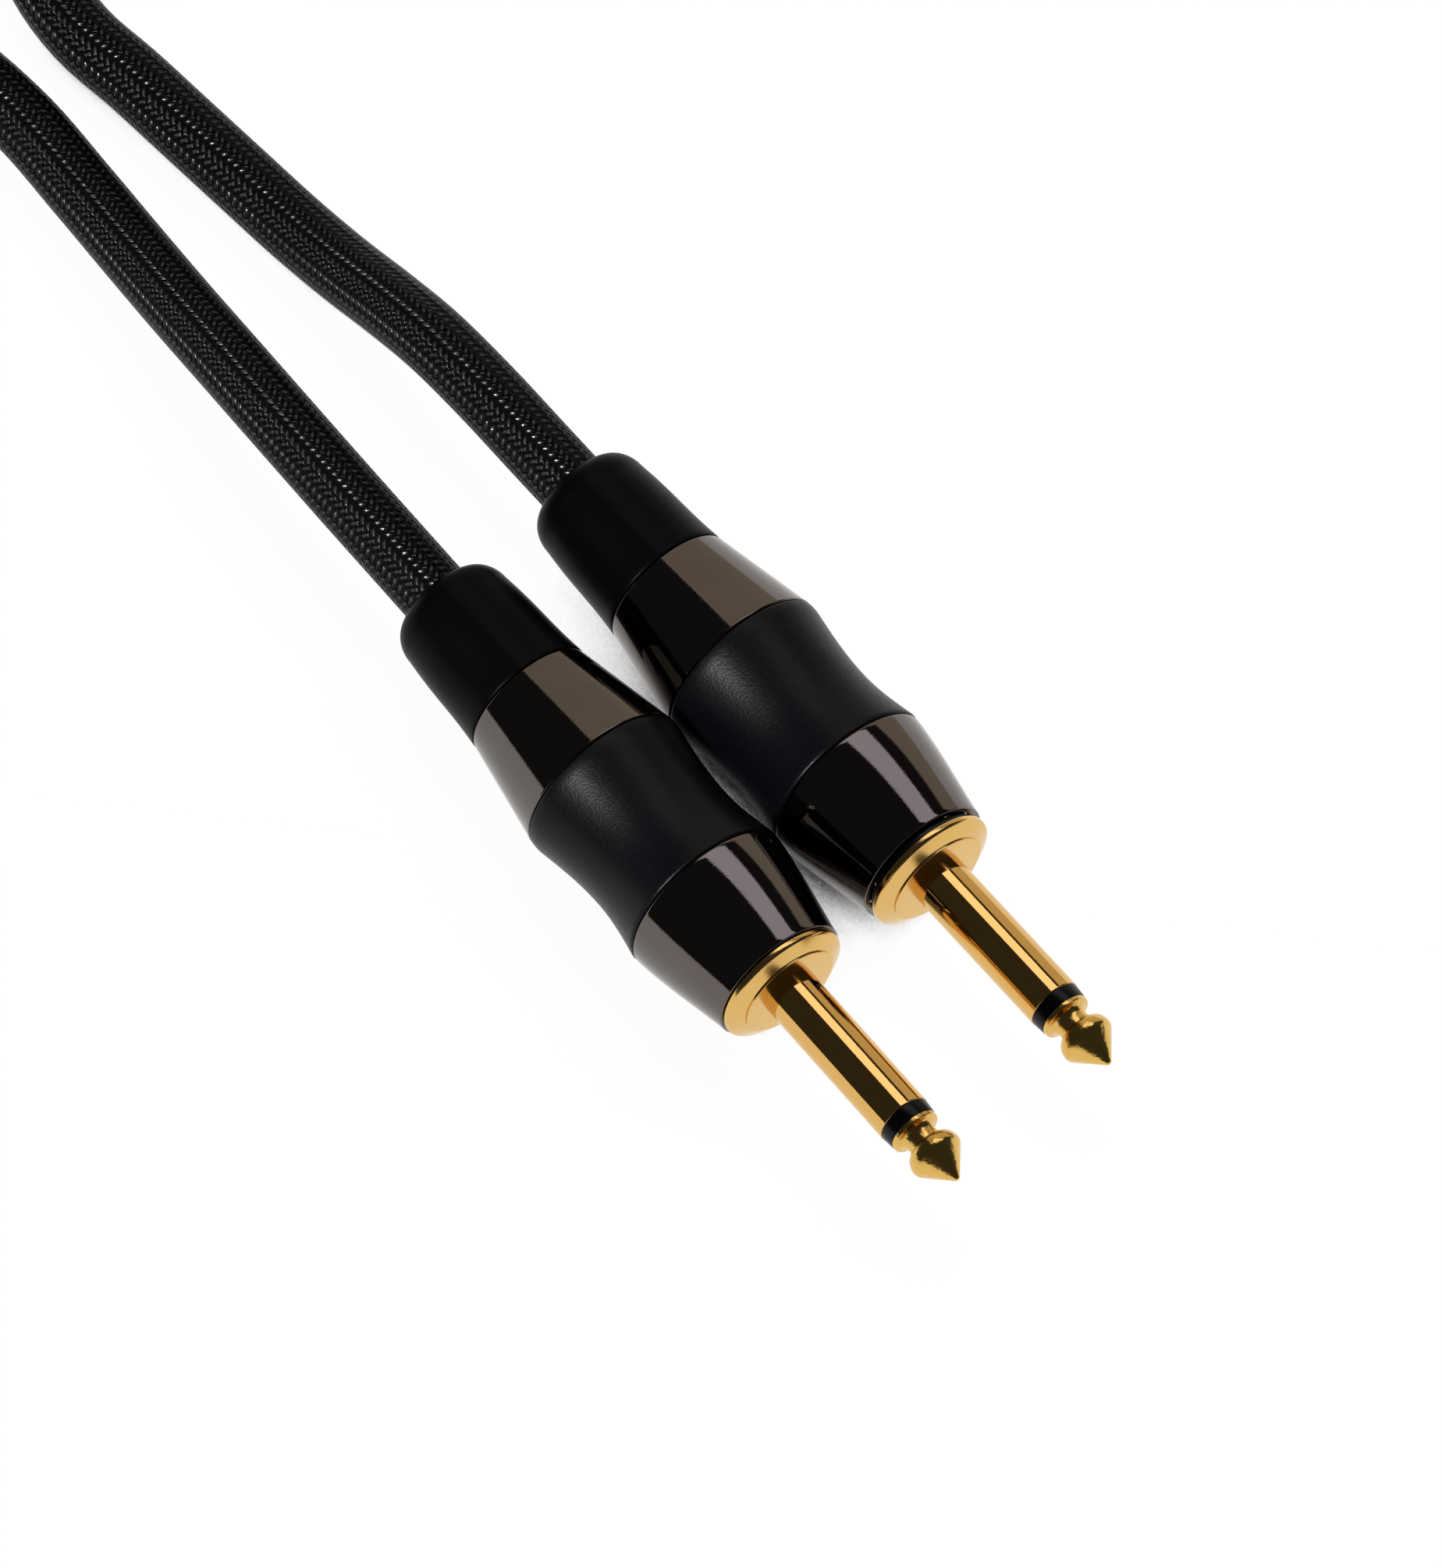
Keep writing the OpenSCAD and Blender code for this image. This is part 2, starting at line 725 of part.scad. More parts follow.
// The tie runs round every turn at the hank's waist, and its end laps over on top
module hank_tie() {
    spare = 0.85;
    waist_rings = [for (j = [run_rings / 2:loop_rings / 2:last_ring]) j];
    seats = [for (j = waist_rings)
        let (
            k = j % loop_rings,
            y = loop_point(k, spread(j))[1]
        )
        [y + (y > 0 ? spare : -spare), layer_z(j) + lift]];
    top_z = max([for (s = seats) s[1]]) + cable_r + tie_gap + tie_t;
    color([0.1, 0.1, 0.11])
        translate([plug_a[0] + hank_at[0], plug_a[1] + hank_at[1], 0])
            union() {
                translate([-tie_w / 2, 0, 0])
                    rotate([90, 0, 90])
                        linear_extrude(height = tie_w)
                            difference() {
                                hull()
                                    for (s = seats)
                                        translate(s)
                                            circle(cable_r + tie_gap + tie_t,
                                                $fn = hull_fn);
                                hull()
                                    for (s = seats)
                                        translate(s)
                                            circle(cable_r + tie_gap, $fn = hull_fn);
                            }
                translate([-tie_w / 2, -tie_lap / 2, top_z - tie_t / 2])
                    cube([tie_w, tie_lap, tie_t]);
            }
}

at_a() boot();  // boot_a
at_a() rear_ring();  // rear_ring_a
at_a() grip();  // grip_a
at_a() barrel();  // barrel_a
at_a() nose();  // nose_a
at_a() nose_seal();  // nose_seal_a
at_a() cable_bush();  // cable_bush_a
at_a() liner();  // liner_a
at_a() plug_body();  // plug_body_a
at_a() sleeve();  // sleeve_a
at_a() insulator_band();  // insulator_band_a
at_a() tip();  // tip_a
at_a() core_tube();  // core_tube_a
at_a() rear_insulator();  // rear_insulator_a
at_a() tip_lug();  // tip_lug_a
at_a() ground_arm();  // ground_arm_a
at_a() cable_end(boot_back);  // cable_end_a
at_a() core_wire();  // core_wire_a
at_a() screen_wire();  // screen_wire_a
at_b_open() boot();  // boot_b
at_b_open() rear_ring();  // rear_ring_b
at_b_open() grip();  // grip_b
at_b_open() barrel();  // barrel_b
at_b_open() nose();  // nose_b
at_b() nose_seal();  // nose_seal_b
at_b_open() cable_bush();  // cable_bush_b
at_b_open() liner();  // liner_b
at_b() plug_body();  // plug_body_b
at_b() sleeve();  // sleeve_b
at_b() insulator_band();  // insulator_band_b
at_b() tip();  // tip_b
at_b() core_tube();  // core_tube_b
at_b() rear_insulator();  // rear_insulator_b
at_b() tip_lug();  // tip_lug_b
at_b() ground_arm();  // ground_arm_b
at_b() cable_end(boot_back - open_b);  // cable_end_b
at_b() core_wire();  // core_wire_b
at_b() screen_wire();  // screen_wire_b
lead_a();
lead_b();
cable_hank();
hank_tie();
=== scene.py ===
"""Instrument cable: two screw-on plugs on one braided cable, its spare length tied in a hank."""
import math
from functools import partial

import bmesh
import bpy
from mathutils import Matrix, Vector


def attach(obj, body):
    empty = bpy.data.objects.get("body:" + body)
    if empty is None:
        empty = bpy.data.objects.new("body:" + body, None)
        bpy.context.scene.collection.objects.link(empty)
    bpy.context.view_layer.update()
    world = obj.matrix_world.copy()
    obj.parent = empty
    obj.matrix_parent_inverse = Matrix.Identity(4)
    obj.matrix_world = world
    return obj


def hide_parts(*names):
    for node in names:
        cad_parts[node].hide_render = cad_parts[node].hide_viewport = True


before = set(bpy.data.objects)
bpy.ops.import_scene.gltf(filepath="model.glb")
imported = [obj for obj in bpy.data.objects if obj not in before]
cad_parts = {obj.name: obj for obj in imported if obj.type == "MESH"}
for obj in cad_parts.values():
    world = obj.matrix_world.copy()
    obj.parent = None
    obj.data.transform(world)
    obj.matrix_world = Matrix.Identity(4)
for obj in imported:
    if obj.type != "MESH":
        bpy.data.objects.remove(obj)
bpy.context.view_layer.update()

bl_info = {
    "name": "Instrument cable",
    "version": (1, 0, 0),
    "blender": (4, 5, 0),
    "location": "3D View > Sidebar > Cable",
    "description": "Builds a tied instrument cable with two screw-on plugs",
    "category": "Object",
}

MM = 0.001
SIDES = ("a", "b")

# Where each plug's flange stands on the table, and how far the plug is turned there
PLUG_PLACE = {"a": (17.2354, -10.5265), "b": (15.9854, 10.7735)}
PLUG_TURN = {"a": 0.0, "b": 0.9}
# How far each handle stands unscrewed, in millimetres
PLUG_OPEN = {"a": 0.0, "b": 0.8}

# Places along a plug from the front face of its flange, toward the tip, in millimetres
SLEEVE_BACK = -5.0
STEM_BACK = -9.8
FLANGE_BACK = -1.8
SEAL_BACK = -2.5
NOSE_FRONT = -1.85
NOSE_BACK = -14.85
GRIP_BACK = -33.15
RING_BACK = -46.05
BOOT_BACK = -61.85
BARREL_FRONT = -10.35
BARREL_BACK = -42.55
BAND_BACK = 20.0
BAND_FRONT = 21.7
TIP_END = 29.5

# Radii in millimetres: the barrel, its bore and the bore of the shells on it, then the stem,
# the sleeve's bore, the rod and the band's bore on the rod
BARREL_R = 7.2
BARREL_BORE_R = 6.5
SHELL_BORE_R = 7.22
STEM_R = 5.62
SLEEVE_BORE_R = 2.475
ROD_R = 1.2
BAND_BORE_R = 1.22
# Gap between a rim of the grip and the metal next to it
SEAM = 0.06
ROUND_STEPS = 160
SHARP_ANGLE = 40.0

# The camera: the directions to its right and from the plugs back to it, its place and lens
CAMERA_RIGHT = Vector((0.6129, 0.7902, 0.0)).normalized()
CAMERA_BACK = Vector((0.3951, -0.30645, 0.8660)).normalized()
CAMERA_PLACE = Vector((1.178925, -0.921036, 2.611375))
CAMERA_LENS = 634.84


# ---- Settings ----

def number(name, description, default, high=1.0, **more):
    """A property that holds a number."""
    return bpy.props.FloatProperty(
        name=name, description=description, default=default, min=0.0, max=high, **more)


# A property that holds a length in metres
length = partial(number, unit="LENGTH", precision=5)


def colour(name, description, default):
    """A colour property."""
    return bpy.props.FloatVectorProperty(
        name=name, description=description, default=default, size=3,
        min=0.0, max=1.0, subtype="COLOR")


class HandleSettings(bpy.types.PropertyGroup):
    """Sizes and colours of the screw-on handle."""
    rim_diameter: length("Rim", "Diameter of the widest rims of the grip", 0.0203)
    waist_diameter: length("Waist", "Diameter of the grip at its waist", 0.0184)
    front_diameter: length("Nose front", "Diameter of the nose at the flange", 0.0161)
    seal_diameter: length("Seal", "Diameter of the seal ring behind the flange", 0.0147)
    rear_diameter: length("Ring rear", "Diameter of the rear ring at the boot", 0.0157)
    boot_diameter: length("Boot end", "Diameter of the boot before its rounded end", 0.014)
    metal: colour("Metal", "Colour of the smoked chrome", (0.134, 0.117, 0.108))
    grip: colour("Grip", "Colour of the soft grip", (0.0010, 0.0012, 0.0017))
    boot: colour("Boot", "Colour of the rubber boot", (0.0005, 0.0006, 0.0008))


class PinSettings(bpy.types.PropertyGroup):
    """Sizes and colours of the contact pin."""
    sleeve_diameter: length("Sleeve", "Diameter of the sleeve", 0.00635)
    flange_diameter: length("Flange", "Diameter of the flange", 0.0156)
    face_diameter: length("Face", "Diameter of the flat face round the sleeve", 0.0118)
    ball_diameter: length("Ball", "Diameter of the tip's ball", 0.0063)
    neck_diameter: length("Neck", "Diameter of the tip's neck", 0.0038)
    thread_pitch: length("Thread pitch", "Pitch of the thread on the stem", 0.001)
    gold: colour("Gold", "Colour of the gold plating", (0.71, 0.435, 0.133))


class CableSettings(bpy.types.PropertyGroup):
    """Sizes and colours of the cable and its tie."""
    diameter: length("Diameter", "Diameter of the cable over its braid", 0.008)
    pick: length("Pick", "Length of one crossing of the braid along the cable", 0.00097)
    yarns: bpy.props.IntProperty(
        name="Yarns", description="Yarns that wind one way round the cable",
        default=24, min=8, max=48)
    yarn_depth: length("Yarn depth", "Depth of the grooves between the yarns", 0.00028)
    gloss: colour("Gloss", "Colour of the bright crowns of the yarns", (0.030, 0.030, 0.032))
    braid: colour("Braid", "Colour of the braid", (0.0004, 0.0004, 0.0005))
    tie_width: length("Tie width", "Width of the tie", 0.012)
    tie_thickness: length("Tie thickness", "Thickness of the tie", 0.0013)
    webbing: colour("Webbing", "Colour of the tie", (0.012, 0.012, 0.013))


class StageSettings(bpy.types.PropertyGroup):
    """Light and floor of the stage."""
    key: number("Overhead box", "Radiance of the overhead light box", 1.5, 20.0)
    rear: number("Rear wall", "Radiance of the rear light wall", 0.48, 20.0)
    front: number("Front lamp", "Radiance of the small lamp on the handles' rubber", 330.0, 2000.0)
    braid: number("Braid lamp", "Radiance of the small lamp on the braid", 900.0, 2000.0)
    room: number("Room", "Radiance of the unlit room", 0.034)
    floor_glow: number("Floor glow", "Light that the floor gives off", 0.97, 4.0)


# ---- Node helpers ----

def feed(tree, socket, value):
    """Links a socket to value, or sets it where value is a number or colour."""
    if isinstance(value, bpy.types.NodeSocket):
        tree.links.new(value, socket)
    else:
        socket.default_value = value


def add_node(tree, kind, **inputs):
    """The outputs of a new node whose inputs are fed. An underscore stands for a space."""
    node = tree.nodes.new("ShaderNode" + kind)
    for label, value in inputs.items():
        feed(tree, node.inputs[label.replace("_", " ")], value)
    return node.outputs


def calc(tree, operation, *values):
    """Output of a Math node on numbers and sockets."""
    node = tree.nodes.new("ShaderNodeMath")
    node.operation = operation
    for socket, value in zip(node.inputs, values):
        feed(tree, socket, value)
    return node.outputs[0]


def arithmetic(tree):
    """Any Math node of a tree, and its adding, subtracting and multiplying."""
    return (partial(calc, tree), *(partial(calc, tree, name)
                                   for name in ("ADD", "SUBTRACT", "MULTIPLY")))


def add_share(tree, base, extra, share):
    """A value with a share of another one added."""
    return calc(tree, "ADD", base, calc(tree, "MULTIPLY", extra, share))


def remap(tree, value, low, high, start=0.0, end=1.0):
    """A value from start to end, brought to the span from low to high."""
    return add_node(tree, "MapRange", Value=value, From_Min=start, From_Max=end,
                    To_Min=low, To_Max=high)["Result"]


def blend_colours(tree, share, first, second):
    """A colour between first and second."""
    node = tree.nodes.new("ShaderNodeMix")
    node.data_type = "RGBA"
    feed(tree, node.inputs["Factor"], share)
    feed(tree, node.inputs[6], (*first, 1.0))
    feed(tree, node.inputs[7], (*second, 1.0))
    return node.outputs[2]


def noise(tree, place, scale, detail, dimensions="3D"):
    """Noise of so many grains to the metre, over a vector or along one axis."""
    node = tree.nodes.new("ShaderNodeTexNoise")
    node.noise_dimensions = dimensions
    feed(tree, node.inputs["W" if dimensions == "1D" else "Vector"], place)
    feed(tree, node.inputs["Scale"], scale)
    node.inputs["Detail"].default_value = detail
    return node.outputs["Fac"]


def new_group(name, numbers, outputs):
    """A shader group with a Vector and numbers: (group, what it is given, what it puts out)."""
    group = bpy.data.node_groups.new(name, "ShaderNodeTree")
    add_socket = group.interface.new_socket
    add_socket("Vector", in_out="INPUT", socket_type="NodeSocketVector")
    for label, value in numbers.items():
        add_socket(label, in_out="INPUT", socket_type="NodeSocketFloat").default_value = value
    for label in outputs:
        add_socket(label, in_out="OUTPUT", socket_type="NodeSocketFloat")
    given, out = group.nodes.new("NodeGroupInput"), group.nodes.new("NodeGroupOutput")
    return group, given.outputs, out.inputs


def grain_group(name):
    """Fine grain and broad patches on Object coordinates."""
    group, given, out = new_group(
        name, {"Grains per metre": 8000.0, "Patches per metre": 300.0}, ("Grain", "Patches"))
    feed(group, out["Grain"], noise(group, given["Vector"], given["Grains per metre"], 1.0))
    feed(group, out["Patches"], noise(group, given["Vector"], given["Patches per metre"], 3.0))
    return group


def turning_group(name):
    """Fine rings that turning leaves round a piece, from its own UV map."""
    group, given, out = new_group(name, {"Rings per metre": 9000.0}, ("Rings",))
    along = add_node(group, "SeparateXYZ", Vector=given["Vector"])["Y"]
    feed(group, out["Rings"], noise(group, along, given["Rings per metre"], 2.0, "1D"))
    return group


def braid_group(name):
    """Two sets of yarns that cross, each over two and under two, on a cable's own UV map.

    Along one set the place across the yarns is q, along the other it is p. At a crossing
    the sum of the two yarns' numbers says which of them lies on top. A yarn's crest glints
    in streaks."""
    group, given, out = new_group(
        name, {"Yarns": 24.0, "Picks per metre": 1030.0}, ("Height", "Glint"))
    roundness, bow, strands, strand_depth, streaks_per_metre = 3.6, 0.85, 4, 0.035, 2600.0
    node, add, subtract, multiply = arithmetic(group)
    split = add_node(group, "SeparateXYZ", Vector=given["Vector"])
    around = multiply(split["X"], given["Yarns"])
    along = multiply(split["Y"], given["Picks per metre"])
    p, q = add(around, along), subtract(around, along)
    p_yarn, q_yarn = node("ROUND", p), node("ROUND", q)
    p_off, q_off = subtract(p, p_yarn), subtract(q, q_yarn)
    phase = node("FLOORED_MODULO", add(p_yarn, q_yarn), 4.0)
    rising = node("LESS_THAN", phase, 1.5)
    falling = subtract(1.0, rising)
    across = add(multiply(q_off, rising), multiply(p_off, falling))
    lengthwise = add(multiply(p_off, rising), multiply(q_off, falling))
    second = node("GREATER_THAN", node("FLOORED_MODULO", phase, 2.0), 0.5)
    place = add(lengthwise, subtract(second, 0.5))
    crown, arch = (
        node("SQRT", node("MAXIMUM", subtract(1.0, multiply(multiply(off, off), fall)), 0.0))
        for off, fall in ((across, roundness), (place, bow)))
    waves = node("COSINE", multiply(across, 2 * math.pi * strands))
    height = add_share(group, multiply(crown, arch), waves, strand_depth)
    streaks = noise(group, given["Vector"], streaks_per_metre, 1.0)
    crest = subtract(add(height, 0.25), multiply(streaks, 0.5))
    feed(group, out["Height"], height)
    feed(group, out["Glint"], remap(group, crest, 0.0, 1.0, 0.93, 1.05))
    return group


GROUPS = {"Fine grain": grain_group, "Turning marks": turning_group, "Braid weave": braid_group}


def use_group(tree, name, vector, **numbers):
    """The outputs of a shared group, made where it isn't there yet, on a vector and numbers."""
    node = tree.nodes.new("ShaderNodeGroup")
    node.node_tree = bpy.data.node_groups.get(name) or GROUPS[name](name)
    tree.links.new(vector, node.inputs["Vector"])
    for label, value in numbers.items():
        node.inputs[label.replace("_", " ")].default_value = value
    return node.outputs


def add_grain(tree, places, grains, patches):
    """Grain and patches on a piece's Object coordinates."""
    group = use_group(tree, "Fine grain", places["Object"], Grains_per_metre=grains,
                      Patches_per_metre=patches)
    return group["Grain"], group["Patches"]


def new_material(name, metallic, specular):
    """A Principled material: (material, tree, the shader's inputs, texture coordinates)."""
    material = bpy.data.materials.new(name)
    material.use_nodes = True
    tree = material.node_tree
    surface = tree.nodes["Principled BSDF"].inputs
    surface["Metallic"].default_value = metallic
    surface["Specular IOR Level"].default_value = specular
    return material, tree, surface, tree.nodes.new("ShaderNodeTexCoord").outputs


def dress(tree, surface, base, rough, relief, depth):
    """Gives a surface its colour, roughness, and relief of a depth in metres."""
    feed(tree, surface["Base Color"], base)
    feed(tree, surface["Roughness"], rough)
    feed(tree, surface["Normal"], add_node(tree, "Bump", Distance=depth, Height=relief)["Normal"])


# ---- Materials ----

def shade(colour_value, factor):
    """A lighter or darker version of a colour."""
    return tuple(min(1.0, channel * factor) for channel in colour_value)


def grained_finish(name, first, second, rough, metallic=0.0, specular=0.5, grains=8000.0,
                   patches=300.0, depth=2e-6, rings=0.0, ring_depth=0.0, peel=0.0):
    """A finish with fine grain, broad patches of two colours and uneven gloss.

    Grains, patches and rings are counted to the metre, and depths are in metres. A turned
    piece has rings, and a cast one an orange peel on its patches."""
    material, tree, surface, places = new_material(name, metallic, specular)
    grain, broad = add_grain(tree, places, grains, patches)
    relief = grain
    if rings:
        marks = use_group(tree, "Turning marks", places["UV"], Rings_per_metre=rings)
        relief = add_share(tree, relief, marks["Rings"], ring_depth / depth)
    if peel:
        relief = add_share(tree, relief, broad, peel / depth)
    dress(tree, surface, blend_colours(tree, broad, first, second),
          remap(tree, grain if rings else broad, *rough), relief, depth)
    return material


turned_finish = partial(grained_finish, patches=220.0)


def plating(context, name, green, blue, rough, **finish):
    """Gold plating whose patches have other shares of green and blue."""
    gold = context.scene.cable_pin.gold
    return turned_finish(name, gold, (gold[0], gold[1] * green, gold[2] * blue), rough,
                         metallic=1.0, **finish)


def braid_material(context):
    """Glossy yarns in a braid, dark in the valleys between them."""
    cable = context.scene.cable_lead
    material, tree, surface, places = new_material("braid_finish", 0.0, 0.02)
    weave = use_group(tree, "Braid weave", places["UV"], Yarns=float(cable.yarns),
                      Picks_per_metre=1.0 / cable.pick)
    grain, patches = add_grain(tree, places, 9000.0, 900.0)
    feed(tree, surface["Metallic"], weave["Glint"])
    dress(tree, surface, blend_colours(tree, weave["Glint"], cable.braid, cable.gloss),
          remap(tree, patches, 0.10, 0.24), add_share(tree, weave["Height"], grain, 0.05),
          cable.yarn_depth)
    return material


def webbing_material(context):
    """Plain woven webbing: threads over and under by turns, on the tie's own UV map in metres."""
    webbing = context.scene.cable_lead.webbing
    warp_per_metre, weft_per_metre, thread_depth = 1400.0, 980.0, 0.0002
    material, tree, surface, places = new_material("webbing_finish", 0.0, 0.4)
    node, add, subtract, multiply = arithmetic(tree)
    split = add_node(tree, "SeparateXYZ", Vector=places["UV"])
    across = multiply(split["X"], warp_per_metre)
    along = multiply(split["Y"], weft_per_metre)
    warp, weft = (node("ABSOLUTE", node("SINE", multiply(way, math.pi)))
                  for way in (across, along))
    square = add(node("FLOOR", across), node("FLOOR", along))
    over = node("LESS_THAN", node("FLOORED_MODULO", square, 2.0), 0.5)
    height = add(multiply(warp, over), multiply(weft, subtract(1.0, over)))
    _, patches = add_grain(tree, places, 9000.0, 500.0)
    # Painted shade: the colour darkens to three tenths of the webbing's in the grooves between the
    # threads
    dress(tree, surface, blend_colours(tree, height, shade(webbing, 0.3), webbing),
          remap(tree, patches, 0.55, 0.85), height, thread_depth)
    return material


# ---- Geometry helpers ----

def plug_matrix(side):
    """From millimetres along a plug to metres in the frame."""
    x, y = PLUG_PLACE[side]
    height = bpy.context.scene.cable_handle.rim_diameter / 2
    return (Matrix.Translation((x * MM, y * MM, height))
            @ Matrix.Rotation(math.radians(PLUG_TURN[side]), 4, "Z") @ Matrix.Scale(MM, 4))


def handle_matrix(side):
    """The same for what moves with the handle."""
    return plug_matrix(side) @ Matrix.Translation((-PLUG_OPEN[side], 0.0, 0.0))


def radii(settings, *names):
    """Radii in millimetres for the settings' diameters of these names."""
    return [getattr(settings, name + "_diameter") / 2 / MM for name in names]


def arc(x, r, radius_x, radius_r, start, end, steps):
    """Points of an outline on an arc."""
    turns = [math.radians(start + (end - start) * i / steps) for i in range(steps + 1)]
    return [(x + radius_x * math.cos(turn), r + radius_r * math.sin(turn)) for turn in turns]


def mesh_object(name, bm, material):
    """An object in the scene from a bmesh."""
    if not bm.faces:
        raise RuntimeError(f"{name} has no faces")
    mesh = bpy.data.meshes.new(name)
    bm.to_mesh(mesh)
    bm.free()
    mesh.materials.append(material)
    thing = bpy.data.objects.new(name, mesh)
    bpy.context.scene.collection.objects.link(thing)
    return thing


def add_piece(name, bm, material, body, replaced=(), matrix=None):
    """A piece from a bmesh, shaded, placed on its body and named for the nodes it stands for."""
    if matrix is not None:
        bmesh.ops.transform(bm, matrix=matrix, verts=bm.verts)
    piece = mesh_object(name, bm, material)
    piece.data.shade_smooth()
    piece.data.set_sharp_from_angle(angle=math.radians(SHARP_ANGLE))
    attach(piece, body)
    if replaced:
        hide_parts(*replaced)
    return piece


def lit_by(lamp_name, piece):
    """Lets a lamp light this piece, and none that isn't given to it."""
    linking = bpy.data.objects[lamp_name].light_linking
    if linking.receiver_collection is None:
        linking.receiver_collection = bpy.data.collections.new(lamp_name)
    linking.receiver_collection.objects.link(piece)


def wrap_uv(bm):
    """UV map of a turned piece: once round in U, metres along it in V.

    V also changes with the radius, so that end faces get rings."""
    layer = bm.loops.layers.uv.new("turned")
    end_share = 1.3
    for face in bm.faces:
        _, y, z = face.calc_center_median()
        centre = math.atan2(y, z)
        for loop in face.loops:
            x, y, z = loop.vert.co
            r = math.hypot(y, z)
            turn = math.atan2(y, z) if r >= 1e-6 else centre
            turn -= 2 * math.pi * round((turn - centre) / (2 * math.pi))
            loop[layer].uv = (turn / (2 * math.pi), (x - end_share * r) * MM)


def chain(bm, points, closed):
    """Corners and edges of a line through points."""
    corners = [bm.verts.new(point) for point in points]
    nexts = corners[1:] + corners[:1] if closed else corners[1:]
    return corners, [bm.edges.new(pair) for pair in zip(corners, nexts)]


def swing(bm, geometry, turns, steps, advance=0.0):
    """Turns geometry about X, closed after one turn or with an advance along X at each step."""
    return bmesh.ops.spin(bm, geom=geometry, cent=(0, 0, 0), axis=(1, 0, 0),
                          dvec=(advance, 0, 0), angle=2 * math.pi * turns, steps=steps,
                          use_merge=not advance)


def spun(outline):
    """A bmesh turned about X from points in millimetres, (x, r) or (x, r, rounding).

    The outline is closed, unless it starts and ends on the axis."""
    bm = bmesh.new()
    corners, edges = chain(bm, [(x, 0.0, r) for x, r, *_ in outline], outline[0][1] > 0)
    swing(bm, corners + edges, 1, ROUND_STEPS)
    bmesh.ops.remove_doubles(bm, verts=bm.verts, dist=1e-4)
    bmesh.ops.recalc_face_normals(bm, faces=bm.faces)
    for x, r, rounding in (point for point in outline if len(point) > 2):
        ring = [edge for edge in bm.edges
                if all(abs(v.co.x - x) < 1e-3 and abs(math.hypot(v.co.y, v.co.z) - r) < 1e-3
                       for v in edge.verts)]
        bmesh.ops.bevel(bm, geom=ring, offset=rounding, offset_type="OFFSET", segments=4,
                        profile=0.5, affect="EDGES", material=-1, clamp_overlap=True)
    wrap_uv(bm)
    return bm


def add_turned(part, side, outline, material, body, matrix):
    """A turned piece in place of one node, its flat parts kept flat in their reflections."""
    piece = add_piece(f"turned_{part}_{side}", spun(outline), material, body,
                      [f"{part}_{side}"], matrix)
    piece.modifiers.new("Even normals", "WEIGHTED_NORMAL").keep_sharp = True
    return piece


# ---- Handle ----

def boot_outline(handle):
    """Rubber boot: rounded end, slightly waisted side, and a spigot in the ring and barrel."""
    rear_r, front_r = radii(handle, "boot", "rear")
    end_length, end_r, hole_r, spigot_r, spigot_bore_r = 3.0, 5.0, 4.35, 6.48, 5.85
    start, shoulder = BOOT_BACK + end_length, RING_BACK - 0.12
    front, cavity = RING_BACK + 5.5, BOOT_BACK + 4.8
    steps = 16
    side = []
    for i in range(1, steps + 1):
        s = i / steps
        r = rear_r + (front_r - rear_r) * (s + 0.08 * math.sin(2 * math.pi * s))
        side.append((start + (shoulder - start) * s, r))
    side[-1] += (0.25,)
    return (arc(start, end_r, end_length, rear_r - end_r, 180, 90, steps) + side
            + [(shoulder, spigot_r), (front, spigot_r, 0.2), (front, spigot_bore_r),
               (cavity, spigot_bore_r), (cavity, hole_r), (BOOT_BACK, hole_r, 0.25)])


def ring_outline(handle):
    """Conical rear ring that clamps the boot against the barrel."""
    rim_r, rear_r = radii(handle, "rim", "rear")
    bore_r, front = 6.52, GRIP_BACK - SEAM
    return [(RING_BACK, bore_r), (BARREL_BACK, bore_r), (BARREL_BACK, SHELL_BORE_R),
            (front, SHELL_BORE_R), (front, rim_r, 0.22), (RING_BACK, rear_r, 0.18)]


def grip_outline(handle):
    """Soft grip, drawn in at a waist forward of its middle."""
    rim_r, waist_r = radii(handle, "rim", "waist")
    waist_x, back_rim, front_rim = NOSE_BACK - 8.0, 1.0, 0.4
    steps = 40
    side = []
    for i in range(steps + 1):
        x = GRIP_BACK + (NOSE_BACK - GRIP_BACK) * i / steps
        reach = waist_x - GRIP_BACK - back_rim if x < waist_x else NOSE_BACK - waist_x - front_rim
        s = min(1.0, abs(x - waist_x) / reach)
        side.append((x, rim_r - (rim_r - waist_r) * math.cos(math.pi / 2 * s)))
    side[0] += (0.3,)
    side[-1] += (0.3,)
    return [(GRIP_BACK, SHELL_BORE_R), *side, (NOSE_BACK, SHELL_BORE_R)]


def nose_outline(handle):
    """Nose shell: a cone with a slight swell, and a pocket for the seal."""
    rim_r, front_r, seal_r = radii(handle, "rim", "front", "seal")
    pocket_r = seal_r + 0.05
    pocket_back, back, bore_r = NOSE_FRONT - 0.8, NOSE_BACK + SEAM, 6.05
    steps = 24
    side = []
    for i in range(steps + 1):
        u = 1 - i / steps
        side.append((NOSE_FRONT + (back - NOSE_FRONT) * u,
                     front_r + (rim_r - front_r) * (u + 0.5 * u * u * (1 - u))))
    side[0] += (0.3,)
    side[-1] += (0.12,)
    return [(back, SHELL_BORE_R), *side, (NOSE_FRONT, pocket_r), (pocket_back, pocket_r),
            (pocket_back, bore_r), (BARREL_FRONT, bore_r), (BARREL_FRONT, SHELL_BORE_R)]


def seal_outline(handle):
    """Seal ring with rounded edges, behind the flange."""
    (seal_r,), bore_r = radii(handle, "seal"), 6.02
    return [(SEAL_BACK, bore_r), (SEAL_BACK, seal_r, 0.17), (FLANGE_BACK, seal_r, 0.17),
            (FLANGE_BACK, bore_r)]


def barrel_outline():
    """Metal barrel that carries the grip."""
    return [(BARREL_BACK, BARREL_BORE_R, 0.1), (BARREL_FRONT, BARREL_BORE_R, 0.1),
            (BARREL_FRONT, BARREL_R, 0.1), (BARREL_BACK, BARREL_R, 0.1)]


